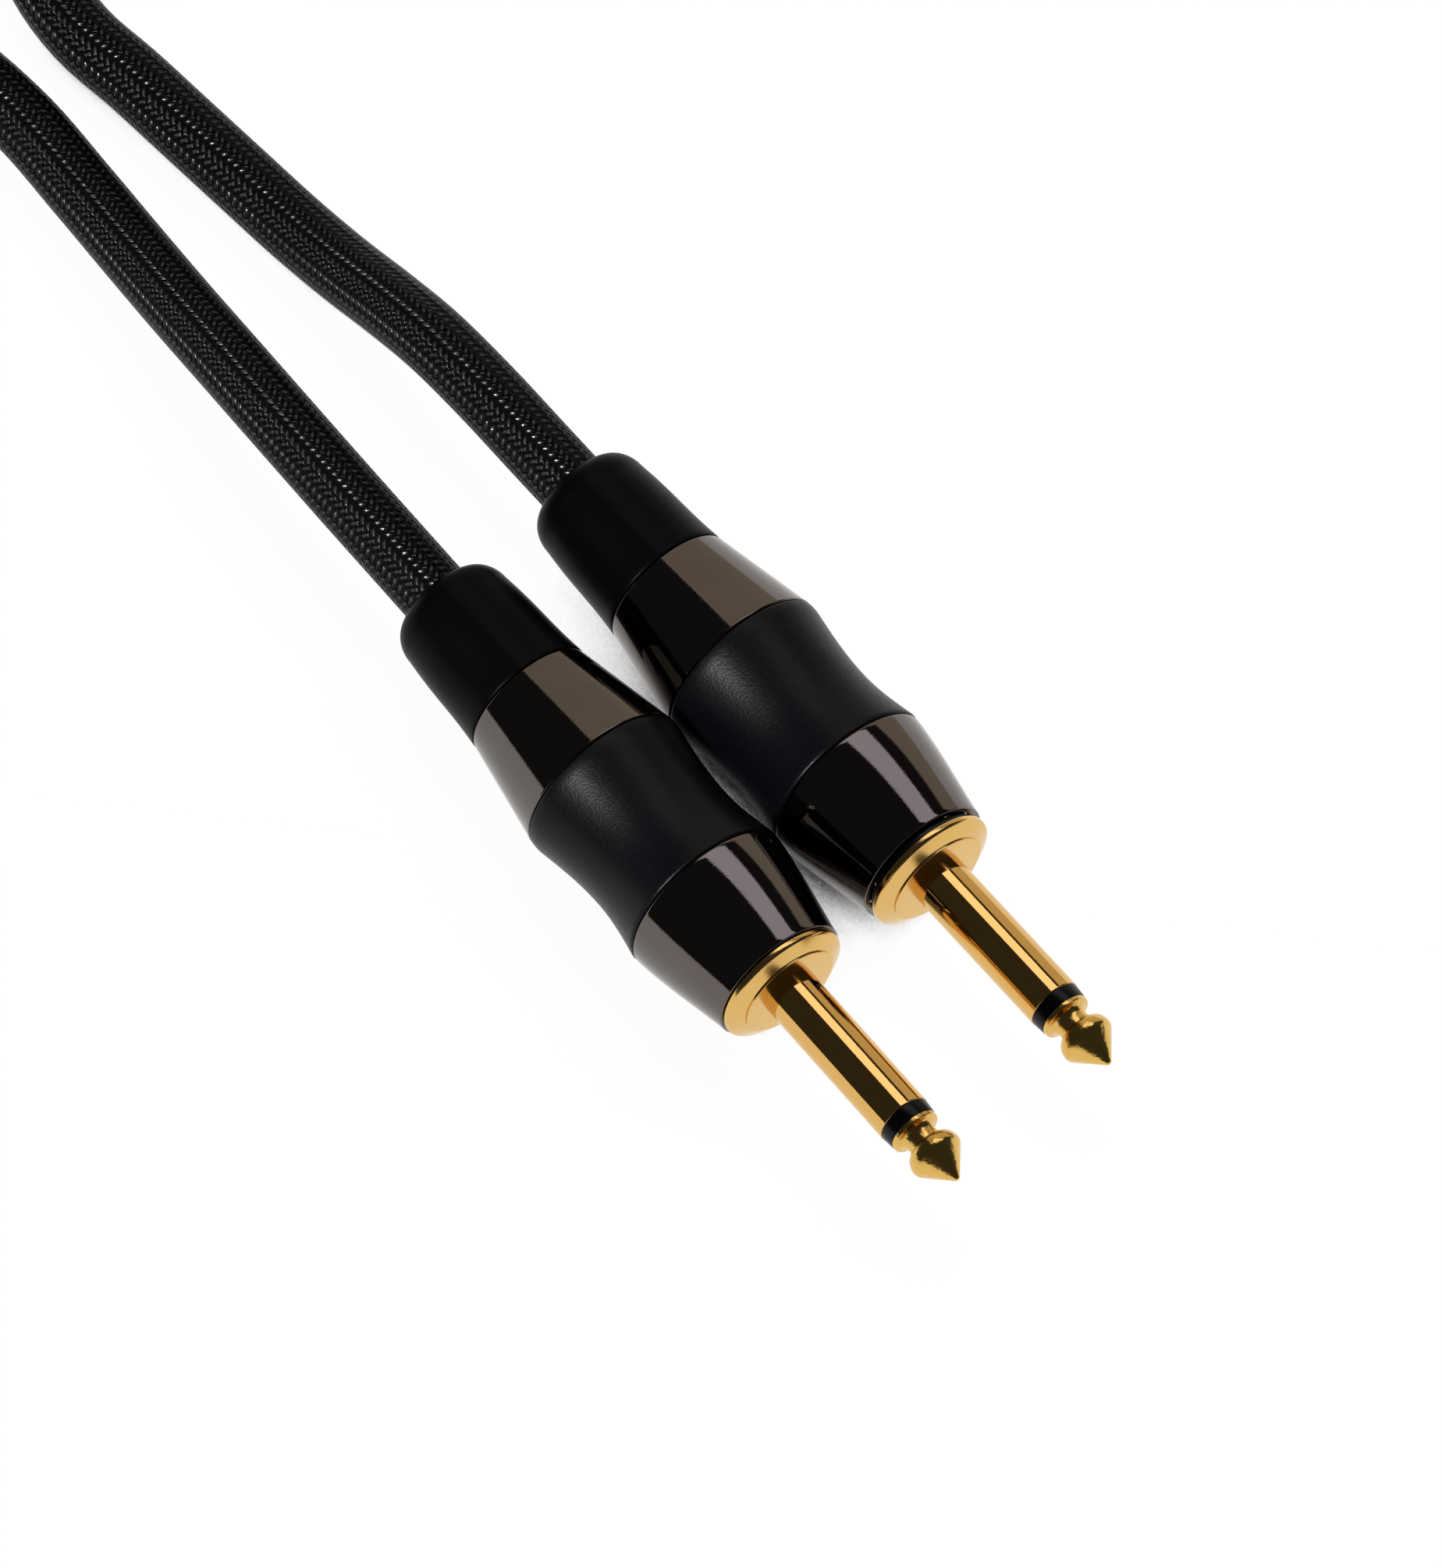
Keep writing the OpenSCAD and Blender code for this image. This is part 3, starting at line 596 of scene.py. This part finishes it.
class CABLE_OT_handles(bpy.types.Operator):
    """Turn the boots, rings, grips, noses and barrels of both handles"""
    bl_idname = "cable.handles"
    bl_label = "Handles"

    def execute(self, context):
        handle = context.scene.cable_handle
        chrome = turned_finish(
            "chrome_finish", handle.metal, shade(handle.metal, 0.88), (0.03, 0.05),
            metallic=1.0, grains=7500.0, depth=3e-6, rings=5000.0, ring_depth=4e-7)
        soft = turned_finish(
            "grip_finish", handle.grip, shade(handle.grip, 1.4), (0.26, 0.46), specular=0.12,
            grains=3800.0, depth=2.4e-5, rings=3000.0, ring_depth=5e-7)
        rubber = turned_finish(
            "boot_finish", handle.boot, shade(handle.boot, 1.4), (0.32, 0.42), specular=0.045,
            grains=5500.0, depth=5e-6, rings=2500.0, ring_depth=5e-7)
        barrel = turned_finish(
            "barrel_finish", (0.50, 0.50, 0.51), (0.42, 0.42, 0.44), (0.22, 0.36),
            metallic=1.0, grains=5000.0, rings=4000.0, ring_depth=3e-6)
        made = (
            ("boot", boot_outline(handle), rubber, "boot_rubber"),
            ("rear_ring", ring_outline(handle), chrome, "smoked_chrome"),
            ("grip", grip_outline(handle), soft, "soft_grip"),
            ("nose", nose_outline(handle), chrome, "smoked_chrome"),
            ("barrel", barrel_outline(), barrel, "barrel_metal"),
        )
        for side in SIDES:
            for part, outline, material, slot in made:
                piece = add_turned(part, side, outline, material, f"handle_{side}",
                                   handle_matrix(side))
                if part in ("boot", "grip"):
                    lit_by("front_lamp", piece)
        return {"FINISHED"}


# ---- Contact pin ----

def body_outline(pin):
    """Flange with a sloped front edge and a stepped face, on its stem."""
    flange_r, face_r, sleeve_r = radii(pin, "flange", "face", "sleeve")
    seat_r, shoulder_r, step = sleeve_r - 0.18, 6.0, -0.2
    return [(0.0, seat_r), (0.0, face_r, 0.08), (step, face_r), (step, face_r + 0.2, 0.05),
            (-1.0, flange_r - 0.2, 0.06), (-1.2, flange_r, 0.1), (FLANGE_BACK, flange_r, 0.18),
            (FLANGE_BACK, shoulder_r), (SEAL_BACK - 0.3, shoulder_r), (SEAL_BACK - 0.6, STEM_R),
            (STEM_BACK, STEM_R, 0.15), (STEM_BACK, SLEEVE_BORE_R), (SLEEVE_BACK, SLEEVE_BORE_R),
            (SLEEVE_BACK, seat_r)]


def sleeve_outline(pin):
    """Sleeve: the outer contact, with a narrower end in the flange."""
    (sleeve_r,) = radii(pin, "sleeve")
    end_r = sleeve_r - 0.2
    return [(SLEEVE_BACK, SLEEVE_BORE_R), (BAND_BACK, SLEEVE_BORE_R),
            (BAND_BACK, sleeve_r, 0.12), (0.0, sleeve_r), (0.0, end_r), (SLEEVE_BACK, end_r)]


def band_outline(pin):
    """Insulating band between sleeve and tip, with a spigot in the sleeve."""
    (sleeve_r,) = radii(pin, "sleeve")
    spigot, spigot_r = BAND_BACK - 1.5, 2.455
    return [(spigot, BAND_BORE_R), (BAND_FRONT, BAND_BORE_R), (BAND_FRONT, sleeve_r - 0.2, 0.1),
            (BAND_BACK, sleeve_r - 0.05, 0.08), (BAND_BACK, spigot_r), (spigot, spigot_r)]


def tip_outline(pin):
    """Tip and its riveted rod: collar, neck, ball and blunt cone."""
    ball_r, neck_r, sleeve_r = radii(pin, "ball", "neck", "sleeve")
    collar_side = sleeve_r - 0.45
    ball_x, foot = BAND_FRONT + 3.9, neck_r + 0.15
    rivet, rivet_r = STEM_BACK - 2.8, 1.7
    return ([(rivet, 0.0), (rivet, rivet_r, 0.15), (rivet + 0.6, rivet_r),
             (rivet + 0.6, ROD_R), (BAND_FRONT, ROD_R), (BAND_FRONT, collar_side + 0.2)]
            + arc(BAND_FRONT + 0.35, collar_side, 0.2, 0.2, 90, 0, 6)
            + arc(BAND_FRONT + 1.55, collar_side, 1.0, collar_side - neck_r, 180, 270, 14)
            + [(ball_x - 1.5, neck_r)]
            + arc(ball_x, foot, 1.5, ball_r - foot, 175, 90, 16)
            + arc(ball_x, ball_r - 0.9, 0.9, 0.9, 80, 50, 6)
            + arc(TIP_END - 0.45, 0.0, 0.45, 0.45, 50, 0, 8))


def stem_thread(pin):
    """Ridge of the thread, swept round the stem in a screw line."""
    pitch = pin.thread_pitch / MM
    start, root_r, crest_r = STEM_BACK + 0.35, 5.58, 5.96
    turns = 6
    steps = 72 * turns
    bm = bmesh.new()
    section = ((0.0, root_r), (0.36 * pitch, crest_r), (0.48 * pitch, crest_r),
               (0.84 * pitch, root_r))
    corners, edges = chain(bm, [(start + dx, 0.0, r) for dx, r in section], True)
    first = bm.faces.new(corners)
    swept = swing(bm, corners + edges + [first], turns, steps, pitch * turns / steps)
    if not swept["geom_last"]:
        raise RuntimeError("the thread has no end")
    bmesh.ops.recalc_face_normals(bm, faces=bm.faces)
    wrap_uv(bm)
    return bm


class CABLE_OT_pins(bpy.types.Operator):
    """Turn the flanges, sleeves, bands, tips and seals of both plugs"""
    bl_idname = "cable.pins"
    bl_label = "Contact pins"

    def execute(self, context):
        pin = context.scene.cable_pin
        satin = {"grains": 5000.0, "rings": 5000.0, "ring_depth": 1e-6}
        gold = plating(context, "gold_finish", 0.96, 0.9, (0.035, 0.075), grains=6000.0,
                       depth=1e-6, rings=7000.0, ring_depth=6e-7)
        satin_gold = plating(context, "flange_finish", 1.06, 1.1, (0.14, 0.22), **satin)
        cast_gold = plating(context, "tip_finish", 1.04, 0.7, (0.13, 0.26), patches=1900.0,
                            peel=6e-5, **satin)
        band = grained_finish("band_finish", (0.003, 0.003, 0.0035), (0.006, 0.006, 0.0065),
                              (0.20, 0.32), specular=0.15)
        seal = grained_finish("seal_finish", (0.004, 0.004, 0.005), (0.008, 0.008, 0.010),
                              (0.22, 0.34), specular=0.25)
        made = (
            ("plug_body", body_outline(pin), satin_gold, "gold_plate"),
            ("sleeve", sleeve_outline(pin), gold, "gold_plate"),
            ("insulator_band", band_outline(pin), band, "band_black"),
            ("tip", tip_outline(pin), cast_gold, "gold_plate"),
            ("nose_seal", seal_outline(context.scene.cable_handle), seal, "seal_black"),
        )
        for side in SIDES:
            for part, outline, material, slot in made:
                add_turned(part, side, outline, material, "root", plug_matrix(side))
            add_piece(f"stem_thread_{side}", stem_thread(pin), gold, "root", (),
                      plug_matrix(side))
        return {"FINISHED"}


# ---- Cable ----

# The hank in millimetres: its middle from plug a's flange, the radii of its innermost fold and
# of the waist's run, half the waist's width, the steps from turn to turn and layer to layer,
# and the lowest layer's height
HANK_AT = (-248.5, 9.0)
FOLD_R = 24.0
WAIST_R = 42.0
WAIST_HALF = 16.0
TURN_STEP = 8.7
LAYER_STEP = 8.5
LOW_LAYER = 4.0
# Its rings: in a fold and in a run, the first and last, those where turns lie innermost or
# outermost, and how many it takes to climb to the next layer
FOLD_RINGS = 9
RUN_RINGS = 3
HALF_LOOP = FOLD_RINGS + RUN_RINGS
LOOP_RINGS = 2 * HALF_LOOP
FIRST_RING = -3
LAST_RING = 179
TURN_BACKS = (49.5, 97.5, 145.5)
CLIMB_RINGS = 6
# How much the turns rise over the tie, and how far from it they begin to
TIE_LIFT = 2.2
LIFT_REACH = 30.0
HANK_MIDDLE = tuple(place + at for place, at in zip(PLUG_PLACE["a"], HANK_AT))
FOLD_X = math.sqrt((FOLD_R + WAIST_R) ** 2 - (WAIST_HALF + WAIST_R) ** 2)
RUN_ANGLE = math.atan2(WAIST_HALF + WAIST_R, FOLD_X)
# The cable's straight length behind a boot, and before and after the hank
FREE_LEN = 16.0
HANK_LEAD = 9.2
# The tie's middle line round a turn, how far turns bow out across its width, the step up to
# its loose end, and half that end's length and its rounding
TIE_LINE_R = 5.05
TURN_BOW = 0.85
LAP_STEP = 1.45
LAP_HALF = 13
LAP_ROUNDING = 5.0
# In metres: between the rings of the cable's skin, and the width of the tie's soft edge
PATH_STEP = 0.002
TIE_EDGE = 0.0002

# Points from plug a's flange: back along the plugs, across them, and up from the table
ROUTE_A = (
    (-90.5, 0.2, 9.8), (-100.5, 0.7, 8.6), (-110.5, 1.4, 6.8), (-120.5, 2.2, 5.1),
    (-130.5, 2.8, 4.2), (-142.5, 3, 4), (-154, 1.2, 4), (-164, -4, 4),
)
ROUTE_B = (
    (-260.5, 49, 29.5), (-248.5, 51.5, 28.5), (-236.5, 54, 25.5), (-225, 56, 21.5),
    (-210.5, 56, 17), (-196.5, 51.5, 12), (-184, 43, 7), (-175, 31.5, 4.4),
    (-170, 24.5, 4), (-163.5, 19.2, 4), (-155.5, 15.9, 4), (-147, 15, 4),
    (-138.5, 16, 4), (-130, 16.8, 4), (-120.5, 17.7, 4), (-112.5, 18.4, 4.2),
    (-104.5, 19, 5.4), (-96.5, 19.5, 7.6), (-89, 19.8, 9.5),
)


def ease(t):
    """A smooth step from 0 to 1."""
    s = min(1.0, max(0.0, t))
    return s * s * (3 - 2 * s)


def spread(j):
    """How far ring j of the hank lies out from the innermost turn."""
    back = TURN_BACKS[0] if j < TURN_BACKS[1] else TURN_BACKS[2]
    return TURN_STEP / LOOP_RINGS * abs(j - back)


def layer_height(j):
    """Height of ring j of the hank above the table."""
    layers = sum(ease((j - back) / CLIMB_RINGS + 0.5) for back in TURN_BACKS)
    return LOW_LAYER + LAYER_STEP * layers


def loop_point(k, out):
    """A ring's place in its loop: a run, then a fold; the other half is the same, turned round."""
    half = k % HALF_LOOP
    if half < RUN_RINGS:
        turn = RUN_ANGLE + (math.pi - 2 * RUN_ANGLE) * half / RUN_RINGS
        radius = WAIST_R - out
        x, y = radius * math.cos(turn), radius * math.sin(turn) - WAIST_HALF - WAIST_R
    else:
        turn = -RUN_ANGLE - 2 * (math.pi - RUN_ANGLE) * (half - RUN_RINGS) / FOLD_RINGS
        radius = FOLD_R + out
        x, y = radius * math.cos(turn) - FOLD_X, radius * math.sin(turn)
    return (x, y) if k < HALF_LOOP else (-x, -y)


def hank_points():
    """Rings of the tied hank, in millimetres in the frame."""
    middle_x, middle_y = HANK_MIDDLE
    points = []
    for j in range(FIRST_RING, LAST_RING + 1):
        k = (j + LOOP_RINGS) % LOOP_RINGS
        x, y = loop_point(k, spread(j))
        lift = 0.0
        if k % HALF_LOOP <= RUN_RINGS and abs(x) < LIFT_REACH:
            lift = TIE_LIFT * math.cos(math.pi / 2 * x / LIFT_REACH) ** 2
        points.append(Vector((middle_x + x, middle_y + y, layer_height(j) + lift)))
    return points


def cable_points():
    """The cable's whole route from plug a's boot to plug b's boot, in metres."""
    hank = hank_points()
    plug_x, plug_y = PLUG_PLACE["a"]

    def from_flange(route):
        return [Vector((plug_x + x, plug_y + y, z)) for x, y, z in route]

    def behind(side):
        return [handle_matrix(side) @ Vector((BOOT_BACK - FREE_LEN * share, 0, 0)) / MM
                for share in (0, 0.5, 1)]

    inward = (hank[1] - hank[0]).normalized()
    outward = (hank[-1] - hank[-2]).normalized()
    points = [*behind("a"), *from_flange(ROUTE_A), hank[0] - HANK_LEAD * inward, *hank,
              hank[-1] + HANK_LEAD * outward, *from_flange(ROUTE_B), *reversed(behind("b"))]
    return [point * MM for point in points]


def smooth_path(points, step):
    """Even points about step apart on a smooth curve through all the given points."""
    ends = [points[0] * 2 - points[1], *points, points[-1] * 2 - points[-2]]
    parts = 12
    fine = []
    for p0, p1, p2, p3 in zip(ends, ends[1:], ends[2:], ends[3:]):
        a, b, c = ((q - p).length ** 0.5 for p, q in ((p0, p1), (p1, p2), (p2, p3)))
        start = ((p1 - p0) / a - (p2 - p0) / (a + b) + (p2 - p1) / b) * b
        end = ((p2 - p1) / b - (p3 - p1) / (b + c) + (p3 - p2) / c) * b
        for i in range(parts):
            t = i / parts
            fine.append(p1 * (2 * t ** 3 - 3 * t ** 2 + 1) + start * (t ** 3 - 2 * t ** 2 + t)
                        + p2 * (3 * t ** 2 - 2 * t ** 3) + end * (t ** 3 - t ** 2))
    fine.append(points[-1])
    total = sum((q - p).length for p, q in zip(fine, fine[1:]))
    count = round(total / step)
    even, travelled, target = [fine[0]], 0.0, total / count
    for p, q in zip(fine, fine[1:]):
        span = (q - p).length
        while len(even) < count and travelled + span >= target * len(even):
            even.append(p.lerp(q, (target * len(even) - travelled) / span))
        travelled += span
    even.append(fine[-1])
    return even


def cable_tube(path, radius):
    """A closed tube along a path, with a UV map: once round in U, metres along the cable in V."""
    sides = 32
    turns = [2 * math.pi * k / sides for k in range(sides)]
    bm = bmesh.new()
    layer = bm.loops.layers.uv.new("braid")
    rings = []
    side_way = Vector((0, 0, 1)).cross(path[1] - path[0]).normalized()
    for i, point in enumerate(path):
        ahead = (path[min(i + 1, len(path) - 1)] - path[max(i - 1, 0)]).normalized()
        side_way = (side_way - ahead * side_way.dot(ahead)).normalized()
        up_way = ahead.cross(side_way)
        rings.append([bm.verts.new(point + radius * (
            math.cos(turn) * side_way + math.sin(turn) * up_way)) for turn in turns])
    travelled = 0.0
    for i in range(len(path) - 1):
        further = travelled + (path[i + 1] - path[i]).length
        for k in range(sides):
            n = (k + 1) % sides
            face = bm.faces.new((rings[i][k], rings[i][n], rings[i + 1][n], rings[i + 1][k]))
            places = ((k, travelled), (k + 1, travelled), (k + 1, further), (k, further))
            for loop, (u, v) in zip(face.loops, places):
                loop[layer].uv = (u / sides, v)
        travelled = further
    bm.faces.new(reversed(rings[0]))
    bm.faces.new(rings[-1])
    bmesh.ops.recalc_face_normals(bm, faces=bm.faces)
    return bm


def tie_seats():
    """Middles of the cable's turns where the tie goes round them, as (y, z) in millimetres."""
    seats = []
    j = RUN_RINGS / 2
    while j <= LAST_RING:
        y = loop_point(j % LOOP_RINGS, spread(j))[1]
        seats.append((y + math.copysign(TURN_BOW, y), layer_height(j) + TIE_LIFT))
        j += HALF_LOOP
    return seats


def hull_line(seats, radius):
    """The line of a strap pulled tight round circles on the seats."""
    turns = [math.pi * i / 32 for i in range(64)]
    points = sorted({(round(y + radius * math.cos(turn), 6), round(z + radius * math.sin(turn), 6))
                     for y, z in seats for turn in turns})

    def half(points):
        line = []
        for p in points:
            while len(line) > 1 and ((line[-1][0] - line[-2][0]) * (p[1] - line[-2][1])
                                     - (line[-1][1] - line[-2][1]) * (p[0] - line[-2][0])) <= 0:
                line.pop()
            line.append(p)
        return line[:-1]

    return half(points) + half(points[::-1])


def strap(line, closed, width, rounded=0.0):
    """A flat strap along a (y, z) line, with a UV map in metres."""
    bm = bmesh.new()
    layer = bm.loops.layers.uv.new("weave")
    middle_x, middle_y = HANK_MIDDLE
    _, strip = chain(bm, [(middle_x - width / 2, middle_y + y, z) for y, z in line], closed)
    columns = 6
    for _ in range(columns):
        grown = bmesh.ops.extrude_edge_only(bm, edges=strip)["geom"]
        moved = [g for g in grown if isinstance(g, bmesh.types.BMVert)]
        strip = [g for g in grown if isinstance(g, bmesh.types.BMEdge)]
        bmesh.ops.translate(bm, verts=moved, vec=(width / columns, 0, 0))
    travelled = [0.0]
    for p, q in zip(line, line[1:] + line[:1]):
        travelled.append(travelled[-1] + math.dist(p, q))
    along = {(round(y, 3), round(z, 3)): travelled[i] for i, (y, z) in enumerate(line)}
    for face in bm.faces:
        values = [along[(round(loop.vert.co.y - middle_y, 3), round(loop.vert.co.z, 3))]
                  for loop in face.loops]
        for loop, value in zip(face.loops, values):
            if closed and max(values) - value > travelled[-1] / 2:
                value += travelled[-1]
            loop[layer].uv = ((loop.vert.co.x - middle_x) * MM, value * MM)
    if rounded:
        ends = {line[0], line[-1]}
        for vert in bm.verts:
            side = abs(vert.co.x - middle_x) / (width / 2)
            if any(math.hypot(vert.co.y - middle_y - y, vert.co.z - z) < 0.01 for y, z in ends):
                inward = 1 if vert.co.y - middle_y < 0 else -1
                vert.co.y += inward * rounded * (1 - math.sqrt(max(0.0, 1 - side ** 4)))
    bmesh.ops.recalc_face_normals(bm, faces=bm.faces)
    return bm


class CABLE_OT_cable(bpy.types.Operator):
    """Lay the braided cable from boot to boot and tie its spare length"""
    bl_idname = "cable.cable"
    bl_label = "Braided cable"

    def execute(self, context):
        cable = context.scene.cable_lead
        path = smooth_path(cable_points(), PATH_STEP)
        skin = add_piece("braided_cable", cable_tube(path, cable.diameter / 2),
                         braid_material(context), "root",
                         ["lead_a", "lead_b", "cable_hank"])
        lit_by("braid_lamp", skin)
        webbing = webbing_material(context)
        width = cable.tie_width / MM
        seats = tie_seats()
        band = add_piece("tie_band", strap(hull_line(seats, TIE_LINE_R), True, width), webbing,
                         "root", ["hank_tie"], Matrix.Scale(MM, 4))
        top = max(z for _, z in seats) + TIE_LINE_R + LAP_STEP
        lap = [(i - LAP_HALF, top) for i in range(2 * LAP_HALF + 1)]
        end = add_piece("tie_end", strap(lap, False, width, LAP_ROUNDING), webbing, "root",
                        (), Matrix.Scale(MM, 4))
        for piece in (band, end):
            thick = piece.modifiers.new("Thickness", "SOLIDIFY")
            thick.thickness = cable.tie_thickness
            thick.offset = 0.0
            edge = piece.modifiers.new("Soft edge", "BEVEL")
            edge.width = TIE_EDGE
            edge.segments = 2
        return {"FINISHED"}


# ---- Parts inside the handle ----

# Each finish: its parts, its two colours, its roughness from and to, and what else it has
INNER_FINISHES = {
    "nylon": (["cable_bush"], (0.62, 0.61, 0.55), (0.70, 0.69, 0.64), (0.38, 0.52),
              {"depth": 3e-6}),
    "liner": (["liner"], (0.030, 0.030, 0.034), (0.042, 0.042, 0.046), (0.36, 0.5),
              {"depth": 3e-6}),
    "cream": (["core_tube"], (0.60, 0.57, 0.46), (0.68, 0.65, 0.55), (0.3, 0.42), {}),
    "brown": (["rear_insulator"], (0.16, 0.10, 0.05), (0.24, 0.16, 0.09), (0.45, 0.6),
              {"grains": 4000.0, "depth": 6e-6}),
    "tinned": (["tip_lug", "ground_arm"], (0.56, 0.55, 0.52), (0.46, 0.45, 0.43), (0.22, 0.4),
               {"metallic": 1.0, "patches": 700.0, "depth": 4e-6}),
    "jacket": (["cable_end"], (0.010, 0.010, 0.011), (0.016, 0.016, 0.017), (0.42, 0.55),
               {"depth": 4e-6}),
    "core": (["core_wire"], (0.66, 0.64, 0.60), (0.74, 0.72, 0.68), (0.3, 0.4), {}),
    "copper": (["screen_wire"], (0.55, 0.25, 0.13), (0.42, 0.19, 0.10), (0.25, 0.42),
               {"metallic": 1.0, "grains": 3500.0, "depth": 4e-5}),
}


class CABLE_OT_inner_finishes(bpy.types.Operator):
    """Give the parts inside the handles their finishes"""
    bl_idname = "cable.inner_finishes"
    bl_label = "Inner finishes"

    def execute(self, context):
        for name, (parts, first, second, rough, more) in INNER_FINISHES.items():
            finish = grained_finish(f"{name}_finish", first, second, rough, **more)
            for node in (f"{part}_{side}" for side in SIDES for part in parts):
                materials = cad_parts[node].data.materials
                materials.clear()
                materials.append(finish)
        return {"FINISHED"}


# ---- Stage ----

def basis(right, up, back):
    """The rotation whose X, Y and Z axes are these."""
    return Matrix((right, up, back)).transposed().to_quaternion()


def put(name, data, place, turn):
    """An object for a light or a camera, at its place and turned."""
    thing = bpy.data.objects.new(name, data)
    thing.location = place
    thing.rotation_mode = "QUATERNION"
    thing.rotation_quaternion = turn
    bpy.context.scene.collection.objects.link(thing)
    return thing


def light_panel(name, centre, facing, width, height, radiance, tint=(1.0, 1.0, 1.0)):
    """A rectangular light of a given radiance that the camera doesn't see."""
    data = bpy.data.lights.new(name, "AREA")
    data.shape = "RECTANGLE"
    data.size, data.size_y = width, height
    data.energy = 4.0 * width * height * radiance
    data.color = tint
    put(name, data, centre, facing).visible_camera = False


class CABLE_OT_stage(bpy.types.Operator):
    """Set up the floor, the lights and the camera"""
    bl_idname = "cable.stage"
    bl_label = "Stage"

    def execute(self, context):
        stage = context.scene.cable_stage
        self.camera(context)
        self.floor(stage)
        self.lights(stage)
        self.room(context, stage)
        return {"FINISHED"}

    def camera(self, context):
        """Camera at the viewing angle."""
        data = bpy.data.cameras.new("camera")
        data.lens = CAMERA_LENS
        data.sensor_width = 36.0
        data.clip_start, data.clip_end = 0.1, 30.0
        context.scene.camera = put(
            "camera", data, CAMERA_PLACE,
            basis(CAMERA_RIGHT, CAMERA_BACK.cross(CAMERA_RIGHT), CAMERA_BACK))

    def floor(self, stage):
        """Pale floor that gives off light, but not in gaps where it sees little of the room:
        painted shade.
        """
        bm = bmesh.new()
        bmesh.ops.create_grid(bm, x_segments=1, y_segments=1, size=4.0)
        gap_reach, closed_gap, open_gap = 0.04, 0.11, 0.19
        material, tree, surface, places = new_material("pale_floor", 0.0, 0.0)
        _, patches = add_grain(tree, places, 900.0, 6.0)
        feed(tree, surface["Base Color"],
             blend_colours(tree, patches, (0.16, 0.16, 0.16), (0.18, 0.18, 0.18)))
        surface["Roughness"].default_value = 0.9
        # Painted shade: ambient occlusion turns the floor's glow down to black in narrow gaps, as
        # between the plugs
        sky = tree.nodes.new("ShaderNodeAmbientOcclusion")
        sky.samples = 16
        sky.inputs["Distance"].default_value = gap_reach
        glow = remap(tree, sky.outputs["AO"], 0.0, 1.0, closed_gap, open_gap)
        feed(tree, surface["Emission Color"],
             blend_colours(tree, glow, (0.0, 0.0, 0.0), (1.0, 1.0, 1.0)))
        surface["Emission Strength"].default_value = stage.floor_glow
        floor = mesh_object("floor", bm, material)

    def lights(self, stage):
        """Overhead box, rear wall, and a small lamp each for the rubber and the braid."""
        up = Vector((0, 0, 1))
        turn = Matrix.Rotation(math.radians(-16.7), 3, "Z")
        box_way, box_out = turn @ CAMERA_RIGHT, turn @ up.cross(CAMERA_RIGHT).normalized()
        height = 1.6
        wide, deep, out, aside = 1.15 * height, 0.58 * height, 0.6, 0.095
        light_panel("overhead_box", (box_out * out + box_way * aside + up) * height,
                    basis(box_way, box_out, up), wide, deep, stage.key, (0.80, 0.77, 0.86))
        wall_way = Vector((0.27, 0.963, 0.0)).normalized()
        wall_out = up.cross(wall_way).normalized()
        distance, tall, wide, aside = 1.5, 1.754, 4.73, 2.135
        light_panel("rear_wall", wall_out * distance + up * tall / 2 + wall_way * aside,
                    basis(-wall_way, up, wall_out), wide, tall, stage.rear, (1.0, 0.875, 0.69))
        spot, distance = Vector((0.11, -0.66, 0.743)).normalized(), 0.9
        across = spot.cross(up).normalized()
        facing = basis(across, spot.cross(across), spot)
        light_panel("front_lamp", spot * distance, facing, 0.10, 0.10, stage.front)
        light_panel("braid_lamp", spot * distance, facing, 0.16, 0.16, stage.braid)

    def room(self, context, stage):
        """A dim room that the camera sees as white."""
        world = bpy.data.worlds.new("room")
        world.use_nodes = True
        tree = world.node_tree
        seen = add_node(tree, "LightPath")["Is Camera Ray"]
        feed(tree, tree.nodes["Background"].inputs["Color"],
             blend_colours(tree, seen, (stage.room,) * 3, (1.0, 1.0, 1.0)))
        context.scene.world = world
        context.scene.view_settings.view_transform = "Standard"


class CABLE_PT_panel(bpy.types.Panel):
    """Buttons that build the cable's pieces"""
    bl_idname = "CABLE_PT_panel"
    bl_label = "Instrument cable"
    bl_space_type = "VIEW_3D"
    bl_region_type = "UI"
    bl_category = "Cable"

    def draw(self, context):
        for operator in OPERATORS:
            self.layout.operator(operator.bl_idname)
        for name, kind in SETTINGS.items():
            box = self.layout.box()
            for key in kind.__annotations__:
                box.prop(getattr(context.scene, name), key)


SETTINGS = {
    "cable_handle": HandleSettings,
    "cable_pin": PinSettings,
    "cable_lead": CableSettings,
    "cable_stage": StageSettings,
}
OPERATORS = (CABLE_OT_stage, CABLE_OT_cable, CABLE_OT_handles, CABLE_OT_pins,
             CABLE_OT_inner_finishes)
CLASSES = (*SETTINGS.values(), *OPERATORS, CABLE_PT_panel)


def register():
    """Add the settings, operators and panel to Blender."""
    for kind in CLASSES:
        bpy.utils.register_class(kind)
    for name, settings in SETTINGS.items():
        setattr(bpy.types.Scene, name, bpy.props.PointerProperty(type=settings))


def unregister():
    """Take them out again."""
    for name in SETTINGS:
        delattr(bpy.types.Scene, name)
    for kind in reversed(CLASSES):
        bpy.utils.unregister_class(kind)


def main():
    """Build everything in order."""
    register()
    bpy.ops.cable.stage()
    bpy.ops.cable.cable()
    bpy.ops.cable.handles()
    bpy.ops.cable.pins()
    bpy.ops.cable.inner_finishes()


if __name__ == "__main__":
    main()
